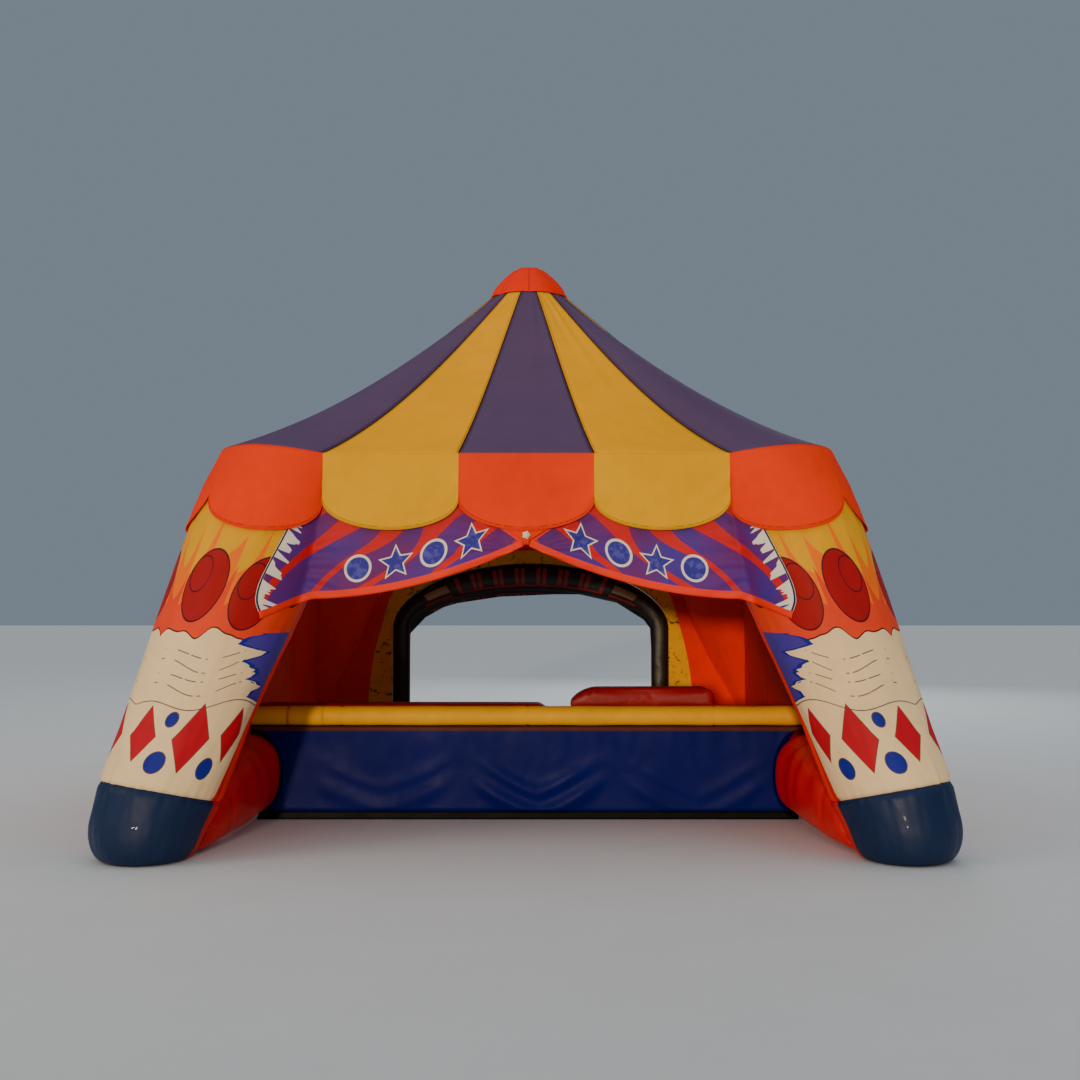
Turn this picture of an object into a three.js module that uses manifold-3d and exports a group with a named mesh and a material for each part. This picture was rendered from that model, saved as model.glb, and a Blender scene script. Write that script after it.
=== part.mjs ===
// Inflatable event tent, 6 m class: four leaning air legs, a sixteen-gore roof with a scalloped
// valance, a draped front banner, a padded counter across the front and an arched way out at the rear.
// Millimetres, +Z up. Origin on the ground at the centre of the footprint; the front faces -Y.
import * as THREE from 'three';
import { mergeVertices } from 'three/addons/utils/BufferGeometryUtils.js';
import Module from 'manifold-3d';

const wasm = await Module();
wasm.setup();

// Running clearances.
const SEAT = 0.4; // gap between a piece and what carries it
const SEAM = 0.3; // half the gap between two neighbouring panels of cloth

// Roof.
const CROWN_R = 330; // plan radius of the ring where the gores end
const CROWN_Z = 4520;
const PEAK_Z = 4800;
const EAVE_HALF = 2330; // the straight eaves lie at x or y = this
const EAVE_Z = 2860;
const STRAIGHT_HALF = 1480; // the straight part of each eave
const HIP_RISE = 80; // the eave is higher where it passes over a leg
const CLOTH = 12; // thickness of a roof gore
const SKIRT = 9; // thickness of valance and banner

// Legs: a round tapering tube whose centre line leans in along the diagonal.
const SEAM_Z = 450; // seam between the leg and its foot
const SEAM_TILT = 28; // the seam is higher on the outer side
const LEG_TOP = 2800;
const LEG_R = 575;
const FOOT_BASE_R = 290;
const FOOT_ROUND = 200; // height over which the foot rounds in

// Valance.
const WRAP_GAP = 26; // between a leg and the outside of the valance that wraps it
const DROP = 340;
const SCALLOP = 220;
const CORNER_SCALLOP = 280; // the two scallops round a leg reach lower

// Frame tubes.
const EAVE_TUBE_R = 130;
const EAVE_TUBE_Z = 2700;
const EAVE_TUBE_Y = EAVE_HALF - 2 * SKIRT - 2 * SEAM - 0.1 - EAVE_TUBE_R;
const HIP_TUBE_R = 170;

// Side walls and bolsters.
const WALL = 12;
const WALL_FOOT_X = 2300;
const WALL_TOP_Z = EAVE_TUBE_Z;
const BOLSTER_X = 2230; // middle of the bolster at mid length
const BOLSTER_END_X = 2440; // and at its ends, inside the feet
const BOLSTER_HALF_W = 240;
const BOLSTER_END_HALF_W = 110;
const BOLSTER_HALF_H = 380;
const BOLSTER_END_HALF_H = 170;
const BOLSTER_HALF_LENGTH = 2640;

// Rear wall with its arch.
const REAR_Y = 2150;
const ARCH_HALF = 1290;
const ARCH_SPRING = 1450;
const ARCH_RISE = 410;
const ARCH_BAND_SIDE = 190;
const ARCH_BAND_TOP = 300;
const ARCH_DEPTH = 60;

// Counter.
const COUNTER_Y = -1120;
const COUNTER_DEPTH = 440;
const COUNTER_H = 755;
const COUNTER_TUBE_R = 88;
const PAD_H = 110;

// Banner.
const BANNER_TOP = 2840;
const BANNER_MID_Z = 2190;

const lerp = (a, b, t) => a + (b - a) * t;

// A leg is thinner than its plain taper, and nearer the axis by as much, most of all at mid height.
const slim = (z) => {
  const down = Math.max(0, (2650 - z) / 2650);
  return 44 * Math.sin(Math.PI * down) + 14 * down;
};

const legCentre = (z) => 2660 - 0.29 * (z - 200) - 3.636e-5 * (z - 200) * (z - 1580) - slim(z);

const legRadius = (z) => {
  const fall = Math.max(0, (2300 - z) / 2100);
  return LEG_R - 165 * fall ** 1.8 - slim(z);
};

const footRadius = (z) => {
  const down = Math.max(0, (FOOT_ROUND - z) / FOOT_ROUND);
  const full = legRadius(Math.max(z, FOOT_ROUND));
  return FOOT_BASE_R + (full - FOOT_BASE_R) * Math.sqrt(1 - down * down);
};

// A closed body from rings of points that all have the same count; both ends are closed flat.
function lofted(rings) {
  const count = rings[0].length;
  const points = rings.flat();
  const index = [];
  for (let k = 0; k + 1 < rings.length; k += 1) {
    for (let i = 0; i < count; i += 1) {
      const j = (i + 1) % count;
      const a = k * count + i;
      const b = k * count + j;
      index.push(a, b, b + count, a, b + count, a + count);
    }
  }
  for (const k of [0, rings.length - 1]) {
    const middle = new THREE.Vector3();
    rings[k].forEach((p) => middle.add(p));
    points.push(middle.divideScalar(count));
    for (let i = 0; i < count; i += 1) {
      const a = k * count + i;
      const b = k * count + ((i + 1) % count);
      if (k === 0) index.push(points.length - 1, b, a);
      else index.push(points.length - 1, a, b);
    }
  }
  return outward(fromPoints(points, index));
}

function fromPoints(points, index) {
  const geometry = new THREE.BufferGeometry().setFromPoints(points);
  geometry.setIndex(index);
  return geometry;
}

function volume(geometry) {
  const p = geometry.attributes.position;
  const index = geometry.index;
  const corner = (i) => new THREE.Vector3().fromBufferAttribute(p, index.getX(i));
  let sum = 0;
  for (let i = 0; i < index.count; i += 3) {
    sum += corner(i).dot(corner(i + 1).cross(corner(i + 2)));
  }
  return sum / 6;
}

function outward(geometry) {
  if (volume(geometry) > 0) return geometry;
  const flipped = [...geometry.index.array];
  for (let i = 0; i < flipped.length; i += 3) {
    [flipped[i], flipped[i + 1]] = [flipped[i + 1], flipped[i]];
  }
  geometry.setIndex(flipped);
  return geometry;
}

// A sheet with two faces: outer(s, t) and inner(s, t) for s and t in the given steps.
function sheet(sSteps, tSteps, outer, inner) {
  const rows = tSteps.length;
  const points = [];
  for (const face of [outer, inner]) {
    for (const s of sSteps) {
      for (const t of tSteps) points.push(face(s, t));
    }
  }
  const half = sSteps.length * rows;
  const index = [];
  const quad = (a, b, c, d) => index.push(a, b, c, a, c, d);
  for (let i = 0; i + 1 < sSteps.length; i += 1) {
    for (let j = 0; j + 1 < rows; j += 1) {
      const a = i * rows + j;
      quad(a, a + rows, a + rows + 1, a + 1);
      quad(half + a, half + a + 1, half + a + rows + 1, half + a + rows);
    }
  }
  for (let i = 0; i + 1 < sSteps.length; i += 1) {
    const a = i * rows;
    const b = a + rows - 1;
    quad(a, half + a, half + a + rows, a + rows);
    quad(b, b + rows, half + b + rows, half + b);
  }
  const last = (sSteps.length - 1) * rows;
  for (let j = 0; j + 1 < rows; j += 1) {
    quad(j, j + 1, half + j + 1, half + j);
    quad(last + j, half + last + j, half + last + j + 1, last + j + 1);
  }
  return outward(fromPoints(points, index));
}

const steps = (n) => Array.from({ length: n + 1 }, (_, i) => i / n);

function solid(geometry) {
  const clean = geometry.clone();
  clean.deleteAttribute('normal');
  clean.deleteAttribute('uv');
  const merged = mergeVertices(clean, 1e-3);
  return new wasm.Manifold(new wasm.Mesh({
    numProp: 3,
    vertProperties: new Float32Array(merged.attributes.position.array),
    triVerts: new Uint32Array(merged.index.array),
  }));
}

function geometryOf(manifold) {
  const mesh = manifold.getMesh();
  const geometry = new THREE.BufferGeometry();
  geometry.setAttribute('position', new THREE.BufferAttribute(mesh.vertProperties, 3));
  geometry.setIndex(new THREE.BufferAttribute(mesh.triVerts, 1));
  return geometry;
}

function cut(geometry, tools) {
  let body = solid(geometry);
  for (const tool of tools) body = body.subtract(tool);
  return body;
}

// The legs.

const SIDES = 24;

function legRing(z, radius, tilt) {
  const c = legCentre(z);
  return Array.from({ length: SIDES }, (_, i) => {
    const angle = (i / SIDES) * 2 * Math.PI;
    const out = Math.cos(angle + Math.PI / 4);
    return new THREE.Vector3(
      c + radius * Math.cos(angle),
      -c + radius * Math.sin(angle),
      z + tilt * out,
    );
  });
}

const LEG_STATIONS = [SEAM_Z, 700, 1000, 1300, 1600, 1900, 2200, 2500, LEG_TOP];
const DOME = [[2850, 0.955], [2890, 0.82], [2915, 0.6], [2925, 0.35]];

function legRings(grow) {
  const fade = (z) => SEAM_TILT * Math.max(0, 1 - (z - SEAM_Z) / 500);
  const rings = LEG_STATIONS.map((z, i) => {
    const lift = i === 0 ? SEAM - grow : 0;
    return legRing(z + lift, legRadius(z) + grow, fade(z));
  });
  for (const [z, part] of DOME) rings.push(legRing(z + grow, legRadius(z) * part + grow, 0));
  return rings;
}

const FOOT_STATIONS = [0, 25, 70, 130, 200, 320, SEAM_Z];

function footRings(grow) {
  return FOOT_STATIONS.map((z, i) => {
    const end = i === FOOT_STATIONS.length - 1;
    const lift = end ? grow - SEAM : 0;
    return legRing(z + lift, footRadius(z) + grow, (SEAM_TILT * z) / SEAM_Z);
  });
}

// The four corners, counted from the front right one; x and y are mirrored into place.
const CORNERS = [
  { name: 'front_right', sx: 1, sy: 1 },
  { name: 'rear_right', sx: 1, sy: -1 },
  { name: 'rear_left', sx: -1, sy: -1 },
  { name: 'front_left', sx: -1, sy: 1 },
];

function mirrored(geometry, sx, sy) {
  const copy = geometry.clone();
  copy.scale(sx, sy, 1);
  return outward(copy);
}

function placed(rings, corner) {
  return mirrored(lofted(rings), corner.sx, corner.sy);
}

const legSolids = CORNERS.map((corner) => solid(placed(legRings(SEAT), corner)));
const footSolids = CORNERS.map((corner) => solid(placed(footRings(SEAT), corner)));

// The roof.

// Distance from the middle of the plan to the outside of a corner's wrap at height z.
const wrapApex = (z) => Math.SQRT2 * legCentre(z) + legRadius(z) + WRAP_GAP;

// A point of the corner panel in plan: an arc through both ends of the corner and the apex.
function cornerPoint(s, apex) {
  const end = (STRAIGHT_HALF + EAVE_HALF) / Math.SQRT2;
  const half = (EAVE_HALF - STRAIGHT_HALF) / Math.SQRT2;
  const rise = apex - end;
  const radius = (rise * rise + half * half) / (2 * rise);
  const centre = apex - radius;
  const reach = Math.atan2(half, end - centre);
  const angle = lerp(reach, -reach, s);
  const q = centre + radius * Math.cos(angle);
  const p = radius * Math.sin(angle);
  return new THREE.Vector2((q - p) / Math.SQRT2, -(q + p) / Math.SQRT2);
}

const EAVE_APEX = wrapApex(EAVE_Z + HIP_RISE);

// Panels of one quarter, from the front centre counter-clockwise: side, corner and side again.
// Panel k of 16 covers its own stretch of the eave; s runs from 0 to 1 along it.
function eavePoint(k, s) {
  const side = Math.floor(((k + 1) % 16) / 4);
  const turn = (side * Math.PI) / 2;
  const place = (k + 1) % 4;
  let p;
  if (place < 3) {
    const width = (2 * STRAIGHT_HALF) / 3;
    p = new THREE.Vector2(-STRAIGHT_HALF + (place + s) * width, -EAVE_HALF);
  } else {
    p = cornerPoint(s, EAVE_APEX);
  }
  return p.rotateAround(new THREE.Vector2(), turn);
}

const isCorner = (k) => (k + 1) % 4 === 3;

const eaveZ = (k, s) => EAVE_Z + (isCorner(k) ? HIP_RISE * Math.sin(Math.PI * s) : 0);

// How concave the roof is: nothing over the middle of a side, most over a leg.
function hollow(k, s) {
  const phase = (k + s - 0.5) / 4;
  return 0.13 * (1 - Math.cos(2 * Math.PI * phase));
}

function roofPoint(k, s, u) {
  const eave = eavePoint(k, s);
  const angle = ((k + s - 0.5) / 16) * 2 * Math.PI - Math.PI / 2;
  const crown = new THREE.Vector2(CROWN_R * Math.cos(angle), CROWN_R * Math.sin(angle));
  const fall = u + hollow(k, s) * u * (1 - u) + 0.19 * u * u * (1 - u);
  return new THREE.Vector3(
    lerp(crown.x, eave.x, u),
    lerp(crown.y, eave.y, u),
    lerp(CROWN_Z, eaveZ(k, s), fall),
  );
}

// Moves a point sideways along the panel so that neighbours keep a seam's gap.
function inset(k, s, u, at) {
  const side = s < 0.5 ? 1 : -1;
  if (s > 0.001 && s < 0.999) return at(k, s, u);
  const edge = at(k, s, u);
  const inner = at(k, s + side * 0.05, u);
  const step = inner.sub(edge).setLength(SEAM);
  return edge.add(step);
}

// Steps along a corner panel, closer together towards the ends of its two scallops.
const WRAP_STEPS = [0, 1].flatMap((half) => steps(7).slice(half).map((s) => {
  const rounded = lerp(s, 0.5 - 0.5 * Math.cos(Math.PI * s), 0.6);
  return (half + rounded) / 2;
}));

function gore(k) {
  const across = isCorner(k) ? WRAP_STEPS : steps(2);
  const outer = (s, u) => inset(k, s, u, roofPoint);
  const inner = (s, u) => outer(s, u).add(new THREE.Vector3(0, 0, -CLOTH));
  return sheet(across, steps(8), outer, inner);
}

// The red cap over the ring where the gores meet.
function crownCap() {
  const lip = 352;
  const slope = 0.72;
  const clear = 1.6;
  const profile = [
    [0, PEAK_Z],
    [50, PEAK_Z - 3],
    [100, PEAK_Z - 15],
    [150, PEAK_Z - 42],
    [205, PEAK_Z - 92],
    [260, PEAK_Z - 147],
    [310, PEAK_Z - 205],
    [338, PEAK_Z - 255],
    [lip, CROWN_Z - slope * (lip - CROWN_R) + clear + 6],
    [lip, CROWN_Z - slope * (lip - CROWN_R) + clear],
    [CROWN_R - 2, CROWN_Z + 2 * slope + clear],
    [CROWN_R - 2, HUB_TOP + SEAT],
    [0, HUB_TOP + SEAT],
  ];
  return turned(profile);
}

const HUB_TOP = 4504;

function turned(profile) {
  const lathe = new THREE.LatheGeometry(profile.map(([r, z]) => new THREE.Vector2(r, z)), 32);
  lathe.rotateX(Math.PI / 2);
  return outward(lathe);
}

function hub() {
  return turned([
    [0, HUB_TOP],
    [300, HUB_TOP],
    [328, HUB_TOP - 25],
    [335, HUB_TOP - 90],
    [320, HUB_TOP - 170],
    [260, HUB_TOP - 230],
    [0, HUB_TOP - 250],
  ]);
}

// An air tube under the hip of the roof, from the hub into the top of a leg.
function hipTube() {
  const path = [new THREE.Vector3(0, 0, HUB_TOP - HIP_TUBE_R - 20)];
  for (const u of [0.2, 0.4, 0.6, 0.74]) {
    const p = roofPoint(2, 0.5, u);
    const down = roofPoint(2, 0.5, u + 0.02).sub(p);
    const slope = down.z / Math.hypot(down.x, down.y);
    const drop = (HIP_TUBE_R + 14) * Math.hypot(1, slope) + CLOTH;
    path.push(new THREE.Vector3(p.x, p.y, p.z - drop));
  }
  const last = legCentre(2700);
  path.push(new THREE.Vector3(last, -last, 2690));
  const curve = new THREE.CatmullRomCurve3(path);
  const frames = curve.getPoints(9);
  const rings = frames.map((p, i) => {
    const along = curve.getTangent(i / 9);
    const side = new THREE.Vector3(1, 1, 0).normalize();
    const up = new THREE.Vector3().crossVectors(side, along).normalize();
    return Array.from({ length: 16 }, (_, j) => {
      const a = (j / 16) * 2 * Math.PI;
      return p.clone()
        .addScaledVector(side, HIP_TUBE_R * Math.cos(a))
        .addScaledVector(up, HIP_TUBE_R * Math.sin(a));
    });
  });
  return lofted(rings);
}

function roofFrame() {
  const tube = hipTube();
  let body = solid(hub());
  for (const corner of CORNERS) body = body.add(solid(mirrored(tube, corner.sx, corner.sy)));
  for (const leg of legSolids) body = body.subtract(leg);
  return body;
}

function straightTube(radius, length, sides) {
  return new THREE.CylinderGeometry(radius, radius, length, sides, 1);
}

function eaveTube(turn, grow) {
  const tube = straightTube(EAVE_TUBE_R + grow, 3400, 24);
  tube.rotateZ(Math.PI / 2);
  tube.translate(0, -EAVE_TUBE_Y, EAVE_TUBE_Z);
  tube.rotateZ(turn);
  return tube;
}

// The valance.

const roundEdge = (s) => Math.sqrt(Math.max(0, 1 - (2 * s - 1) ** 2));

const scallopDrop = (s) => DROP + SCALLOP * roundEdge(s);

const cornerDrop = (s) => DROP + CORNER_SCALLOP * roundEdge((2 * s) % 1);

const ROUNDED = Array.from({ length: 9 }, (_, i) => 0.5 - 0.5 * Math.cos((Math.PI * i) / 8));

function sideValance(turn) {
  const across = [0, 1, 2].flatMap((m) => ROUNDED.slice(m ? 1 : 0).map((s) => m + s));
  const width = (2 * STRAIGHT_HALF - 2 * SEAM) / 3;
  const face = (y) => (s, t) => {
    const local = s - Math.min(2, Math.floor(s));
    const top = EAVE_Z - CLOTH - SEAT;
    return new THREE.Vector3(
      -STRAIGHT_HALF + SEAM + s * width,
      y,
      top - t * (scallopDrop(local) - CLOTH),
    );
  };
  const strip = sheet(across, steps(1), face(-EAVE_HALF), face(-EAVE_HALF + SKIRT));
  strip.rotateZ(turn);
  return strip;
}

function cornerValance(corner) {
  const top = (s) => EAVE_Z + HIP_RISE * Math.sin(Math.PI * s) - CLOTH - SEAT;
  const at = (s, t, grow) => {
    const z = top(s) - t * (cornerDrop(s) - CLOTH);
    const held = THREE.MathUtils.clamp(s, 0.0015, 0.9985);
    const p = cornerPoint(held, wrapApex(z));
    const middle = new THREE.Vector2(1, -1).multiplyScalar((wrapApex(z) - 620) / Math.SQRT2);
    const inward = middle.sub(p).setLength(grow);
    return new THREE.Vector3(p.x + inward.x, p.y + inward.y, z);
  };
  const strip = sheet(
    WRAP_STEPS,
    steps(3),
    (s, t) => at(s, t, 0),
    (s, t) => at(s, t, SKIRT),
  );
  return mirrored(strip, corner.sx, corner.sy);
}

// The banner.

// Lower edge of the banner at distance x from its middle: a tied curtain's sweep.
const bannerEdge = (x) => BANNER_MID_Z - 390 * (1 - (1 - Math.min(x, 1560) / 1560) ** 1.9);

function bannerHalf(side) {
  const y = -EAVE_HALF + SKIRT + SEAM;
  const wide = 1640;
  const across = steps(12);
  const face = (depth) => (s, t) => {
    const x = 70 + s * (wide - 70);
    return new THREE.Vector3(side * x, depth, lerp(BANNER_TOP, bannerEdge(x), t));
  };
  const strip = sheet(across, [0, 0.45, 1], face(y), face(y + SKIRT));
  return cut(strip, legSolids);
}

// The knot that gathers both halves of the banner.
function bannerKnot() {
  const shape = new THREE.Shape();
  shape.moveTo(-69.5, BANNER_TOP);
  shape.lineTo(69.5, BANNER_TOP);
  shape.lineTo(69.5, 2150);
  shape.lineTo(0, 2120);
  shape.lineTo(-69.5, 2150);
  shape.closePath();
  const knot = new THREE.ExtrudeGeometry(shape, { depth: SKIRT, bevelEnabled: false });
  knot.rotateX(Math.PI / 2);
  knot.translate(0, -EAVE_HALF + 2 * SKIRT + SEAM, 0);
  return knot;
}

// Side walls, bolsters and the rear wall.

const WALL_ROWS = [0.05, 0.16, 0.3, 0.45, 0.6, 0.75, 0.88, 1];

const WALL_LEAN = WALL_FOOT_X - EAVE_TUBE_Y + EAVE_TUBE_R + SEAT;

const wallX = (z) => WALL_FOOT_X - WALL_LEAN * (z / WALL_TOP_Z) ** 2;

function bolster(side, grow) {
  const count = 20;
  const stations = 14;
  const rings = Array.from({ length: stations + 1 }, (_, i) => {
    const along = -Math.cos((Math.PI * i) / stations);
    const swell = (1 - Math.abs(along) ** 2.5) ** 0.6;
    const x = lerp(BOLSTER_END_X, BOLSTER_X, swell);
    const width = lerp(BOLSTER_END_HALF_W, BOLSTER_HALF_W, swell);
    const height = lerp(BOLSTER_END_HALF_H, BOLSTER_HALF_H, swell);
    return Array.from({ length: count }, (__, j) => {
      const a = (j / count) * 2 * Math.PI;
      return new THREE.Vector3(
        side * (x + (width + grow) * Math.cos(a)),
        along * (BOLSTER_HALF_LENGTH + grow),
        height + (height + grow) * Math.sin(a),
      );
    });
  });
  return lofted(rings);
}

function bolsterBody(side) {
  return cut(bolster(side, 0), [...legSolids, ...footSolids]);
}

function sideWall(side) {
  const face = (offset) => (s, t) => {
    const z = t * WALL_TOP_Z;
    const reach = legCentre(z);
    return new THREE.Vector3(side * (wallX(z) + offset), lerp(-reach, reach, s), z);
  };
  const panel = sheet(steps(4), WALL_ROWS, face(0), face(-WALL));
  const tube = solid(eaveTube((side * Math.PI) / 2, SEAT));
  const tools = [...legSolids, ...footSolids, solid(bolster(side, SEAT)), tube];
  const body = cut(panel, tools);
  return largest(body);
}

function largest(body) {
  const pieces = body.decompose();
  pieces.sort((a, b) => b.volume() - a.volume());
  return pieces[0];
}

function sideCutters() {
  return [1, -1].flatMap((side) => {
    const face = (offset) => (s, t) => {
      const z = t * WALL_TOP_Z;
      return new THREE.Vector3(side * (wallX(z) + offset), lerp(-2400, 2400, s), z);
    };
    const wall = sheet(steps(1), [0, ...WALL_ROWS], face(400), face(-WALL - SEAT));
    return [solid(bolster(side, SEAT)), solid(wall)];
  });
}

const sides = sideCutters();

function archShape(half, spring, rise, foot) {
  const shape = new THREE.Shape();
  shape.moveTo(-half, foot);
  shape.lineTo(-half, spring);
  const n = 14;
  for (let i = 1; i < n; i += 1) {
    const a = Math.PI - (i / n) * Math.PI;
    shape.lineTo(half * Math.cos(a), spring + rise * Math.sin(a));
  }
  shape.lineTo(half, spring);
  shape.lineTo(half, foot);
  shape.closePath();
  return shape;
}

function standing(shape, depth, y) {
  const body = new THREE.ExtrudeGeometry(shape, { depth, bevelEnabled: false });
  body.rotateX(Math.PI / 2);
  body.translate(0, y + depth, 0);
  return body;
}

const opening = (half, grow) => archShape(half + grow, ARCH_SPRING, ARCH_RISE + grow, -10);

function rearArch() {
  const outer = archShape(ARCH_HALF + ARCH_BAND_SIDE, ARCH_SPRING, ARCH_RISE + ARCH_BAND_TOP, 0);
  const band = standing(outer, ARCH_DEPTH, REAR_Y);
  const hole = standing(opening(ARCH_HALF, 0), ARCH_DEPTH + 40, REAR_Y - 20);
  return cut(band, [solid(hole)]);
}

function rearWall() {
  const panel = new THREE.BoxGeometry(4560, WALL * 2, EAVE_TUBE_Z);
  panel.translate(0, REAR_Y + ARCH_DEPTH / 2, EAVE_TUBE_Z / 2);
  const grown = archShape(
    ARCH_HALF + ARCH_BAND_SIDE + SEAT,
    ARCH_SPRING,
    ARCH_RISE + ARCH_BAND_TOP + SEAT,
    -10,
  );
  const hole = standing(grown, ARCH_DEPTH + 40, REAR_Y - 20);
  const tube = solid(eaveTube(Math.PI, SEAT));
  const body = cut(panel, [solid(hole), tube, ...sides, ...legSolids, ...footSolids]);
  return largest(body);
}

// The counter.

function block(x0, x1, y0, y1, z0, z1) {
  const box = new THREE.BoxGeometry(x1 - x0, y1 - y0, z1 - z0);
  box.translate((x0 + x1) / 2, (y0 + y1) / 2, (z0 + z1) / 2);
  return box;
}

function counterBase() {
  const base = block(-2290, 2290, COUNTER_Y, COUNTER_Y + COUNTER_DEPTH, 0, COUNTER_H);
  return largest(cut(base, sides));
}

function counterTube() {
  const tube = straightTube(COUNTER_TUBE_R, 4600, 20);
  tube.rotateZ(Math.PI / 2);
  tube.translate(0, COUNTER_Y + COUNTER_TUBE_R - 12, COUNTER_H + COUNTER_TUBE_R + SEAT);
  return cut(tube, sides);
}

function counterTop() {
  const y0 = COUNTER_Y + 2 * COUNTER_TUBE_R - 12 + SEAT;
  const z0 = COUNTER_H + SEAT;
  const pad = block(-2290, 2290, y0, COUNTER_Y + COUNTER_DEPTH + 20, z0, z0 + PAD_H);
  return cut(pad, sides);
}

function counterCushion() {
  const shape = new THREE.Shape();
  const z0 = COUNTER_H + PAD_H + 2 * SEAT;
  shape.moveTo(340, z0);
  shape.lineTo(1560, z0);
  shape.lineTo(1560, z0 + 110);
  shape.quadraticCurveTo(1560, z0 + 190, 1460, z0 + 190);
  shape.lineTo(560, z0 + 190);
  shape.quadraticCurveTo(420, z0 + 180, 340, z0 + 60);
  shape.closePath();
  const depth = COUNTER_DEPTH - 2 * COUNTER_TUBE_R - 20;
  const cushion = new THREE.ExtrudeGeometry(shape, { depth, bevelEnabled: false, curveSegments: 6 });
  cushion.rotateX(Math.PI / 2);
  cushion.translate(0, COUNTER_Y + COUNTER_DEPTH, 0);
  return cushion;
}

// Colours as they look in daylight.
const COLOURS = {
  purple: [0x54425f, 0.55],
  yellow: [0xefa820, 0.5],
  red: [0xf0431f, 0.5],
  banner: [0x5b3f8f, 0.5],
  leg: [0xf2a11c, 0.45],
  foot: [0x1e3350, 0.35],
  skirt: [0x0a2474, 0.3],
  wall: [0xc0161a, 0.5],
  black: [0x17120f, 0.5],
  frame: [0xd9d4cc, 0.5],
  pad: [0x9a1016, 0.45],
};

const tent = new THREE.Group();

function add(name, geometry, colour) {
  const [color, roughness] = COLOURS[colour];
  const material = new THREE.MeshStandardMaterial({ color, roughness, metalness: 0 });
  const body = geometry.getMesh ? geometryOf(geometry) : geometry;
  const mesh = new THREE.Mesh(body, material);
  mesh.name = name;
  tent.add(mesh);
}

CORNERS.forEach((corner) => {
  add(`foot_${corner.name}`, placed(footRings(0), corner), 'foot');
  add(`leg_${corner.name}`, placed(legRings(0), corner), 'leg');
});

const TURNS = [['front', 0], ['right', Math.PI / 2], ['rear', Math.PI], ['left', -Math.PI / 2]];
TURNS.forEach(([name, turn]) => {
  add(`eave_tube_${name}`, cut(eaveTube(turn, 0), legSolids), 'frame');
});
add('roof_frame', roofFrame(), 'frame');

for (let k = 0; k < 16; k += 1) {
  const label = String(k + 1).padStart(2, '0');
  add(`roof_gore_${label}`, gore(k), k % 2 === 0 ? 'purple' : 'yellow');
}
add('crown_cap', crownCap(), 'red');

TURNS.forEach(([name, turn]) => add(`valance_${name}`, sideValance(turn), 'yellow'));
CORNERS.forEach((corner) => add(`valance_${corner.name}`, cornerValance(corner), 'red'));

add('banner_right', bannerHalf(1), 'banner');
add('banner_left', bannerHalf(-1), 'banner');
add('banner_knot', bannerKnot(), 'red');

for (const [name, side] of [['right', 1], ['left', -1]]) {
  add(`side_wall_${name}`, sideWall(side), 'wall');
  add(`bolster_${name}`, bolsterBody(side), 'red');
}
add('rear_wall', rearWall(), 'wall');
add('rear_arch', rearArch(), 'black');

add('counter_base', counterBase(), 'skirt');
add('counter_tube', counterTube(), 'yellow');
add('counter_top', counterTop(), 'pad');
add('counter_cushion', counterCushion(), 'pad');

export default tent;
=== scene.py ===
# %% [markdown]
# # An inflatable event tent, dressed piece by piece
# The tent arrives as a fixed frame: legs, roof gores, valance, banner, walls and counter, each a plain
# solid of the right size. Every cell below takes one of them and gives it the shape and the finish of
# the real cloth. Nothing is moved: a new piece is modelled in metres where the frame's own solid is.

# %% Load the frame
import math

import bmesh
import bpy
from mathutils import Matrix, Vector, noise


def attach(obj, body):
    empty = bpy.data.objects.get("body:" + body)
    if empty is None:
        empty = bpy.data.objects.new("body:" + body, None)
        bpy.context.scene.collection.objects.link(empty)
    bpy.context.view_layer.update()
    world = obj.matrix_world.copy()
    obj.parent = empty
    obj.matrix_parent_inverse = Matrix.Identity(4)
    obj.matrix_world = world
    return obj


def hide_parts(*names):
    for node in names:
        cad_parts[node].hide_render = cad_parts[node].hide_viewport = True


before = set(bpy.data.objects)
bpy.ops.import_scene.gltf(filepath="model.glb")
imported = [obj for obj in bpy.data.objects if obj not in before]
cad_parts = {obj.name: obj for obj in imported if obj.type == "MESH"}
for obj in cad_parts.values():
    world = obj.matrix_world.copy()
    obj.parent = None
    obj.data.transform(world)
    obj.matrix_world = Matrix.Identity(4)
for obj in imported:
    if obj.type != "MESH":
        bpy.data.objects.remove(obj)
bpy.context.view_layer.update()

# %% [markdown]
# ## Camera, light and floor
# The picture was taken by someone standing about twelve metres in front of the tent, with the lens
# above eye height and tipped up a little, so the counter is seen from just above and the valance
# from below. A real photographer's studio would light such a thing with very large soft boxes, so the
# lights here are metres wide. The key is warm and stands low in front and a little to the left, as an
# evening sun would, and reaches in under the banner to the rear wall. The light from above and from
# behind is cool, like the open sky.

# %% Camera, light and floor
CAMERA_AT = Vector((0.10, -11.75, 1.85))
CAMERA_TILT = math.radians(2.29)
CAMERA_LENS = 43.3


def add_camera():
    data = bpy.data.cameras.new("camera")
    data.lens = CAMERA_LENS
    data.sensor_width = 36
    camera = bpy.data.objects.new("camera", data)
    camera.location = CAMERA_AT
    camera.rotation_euler = (math.radians(90) + CAMERA_TILT, 0, 0)
    bpy.context.scene.collection.objects.link(camera)
    bpy.context.scene.camera = camera


def add_softbox(name, at, look_at, size, watts, colour):
    data = bpy.data.lights.new(name, "AREA")
    data.shape = "RECTANGLE"
    data.size = size[0]
    data.size_y = size[1]
    data.energy = watts
    data.color = colour
    light = bpy.data.objects.new(name, data)
    light.location = at
    light.rotation_euler = (Vector(look_at) - Vector(at)).to_track_quat("-Z", "Y").to_euler()
    bpy.context.scene.collection.objects.link(light)


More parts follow.
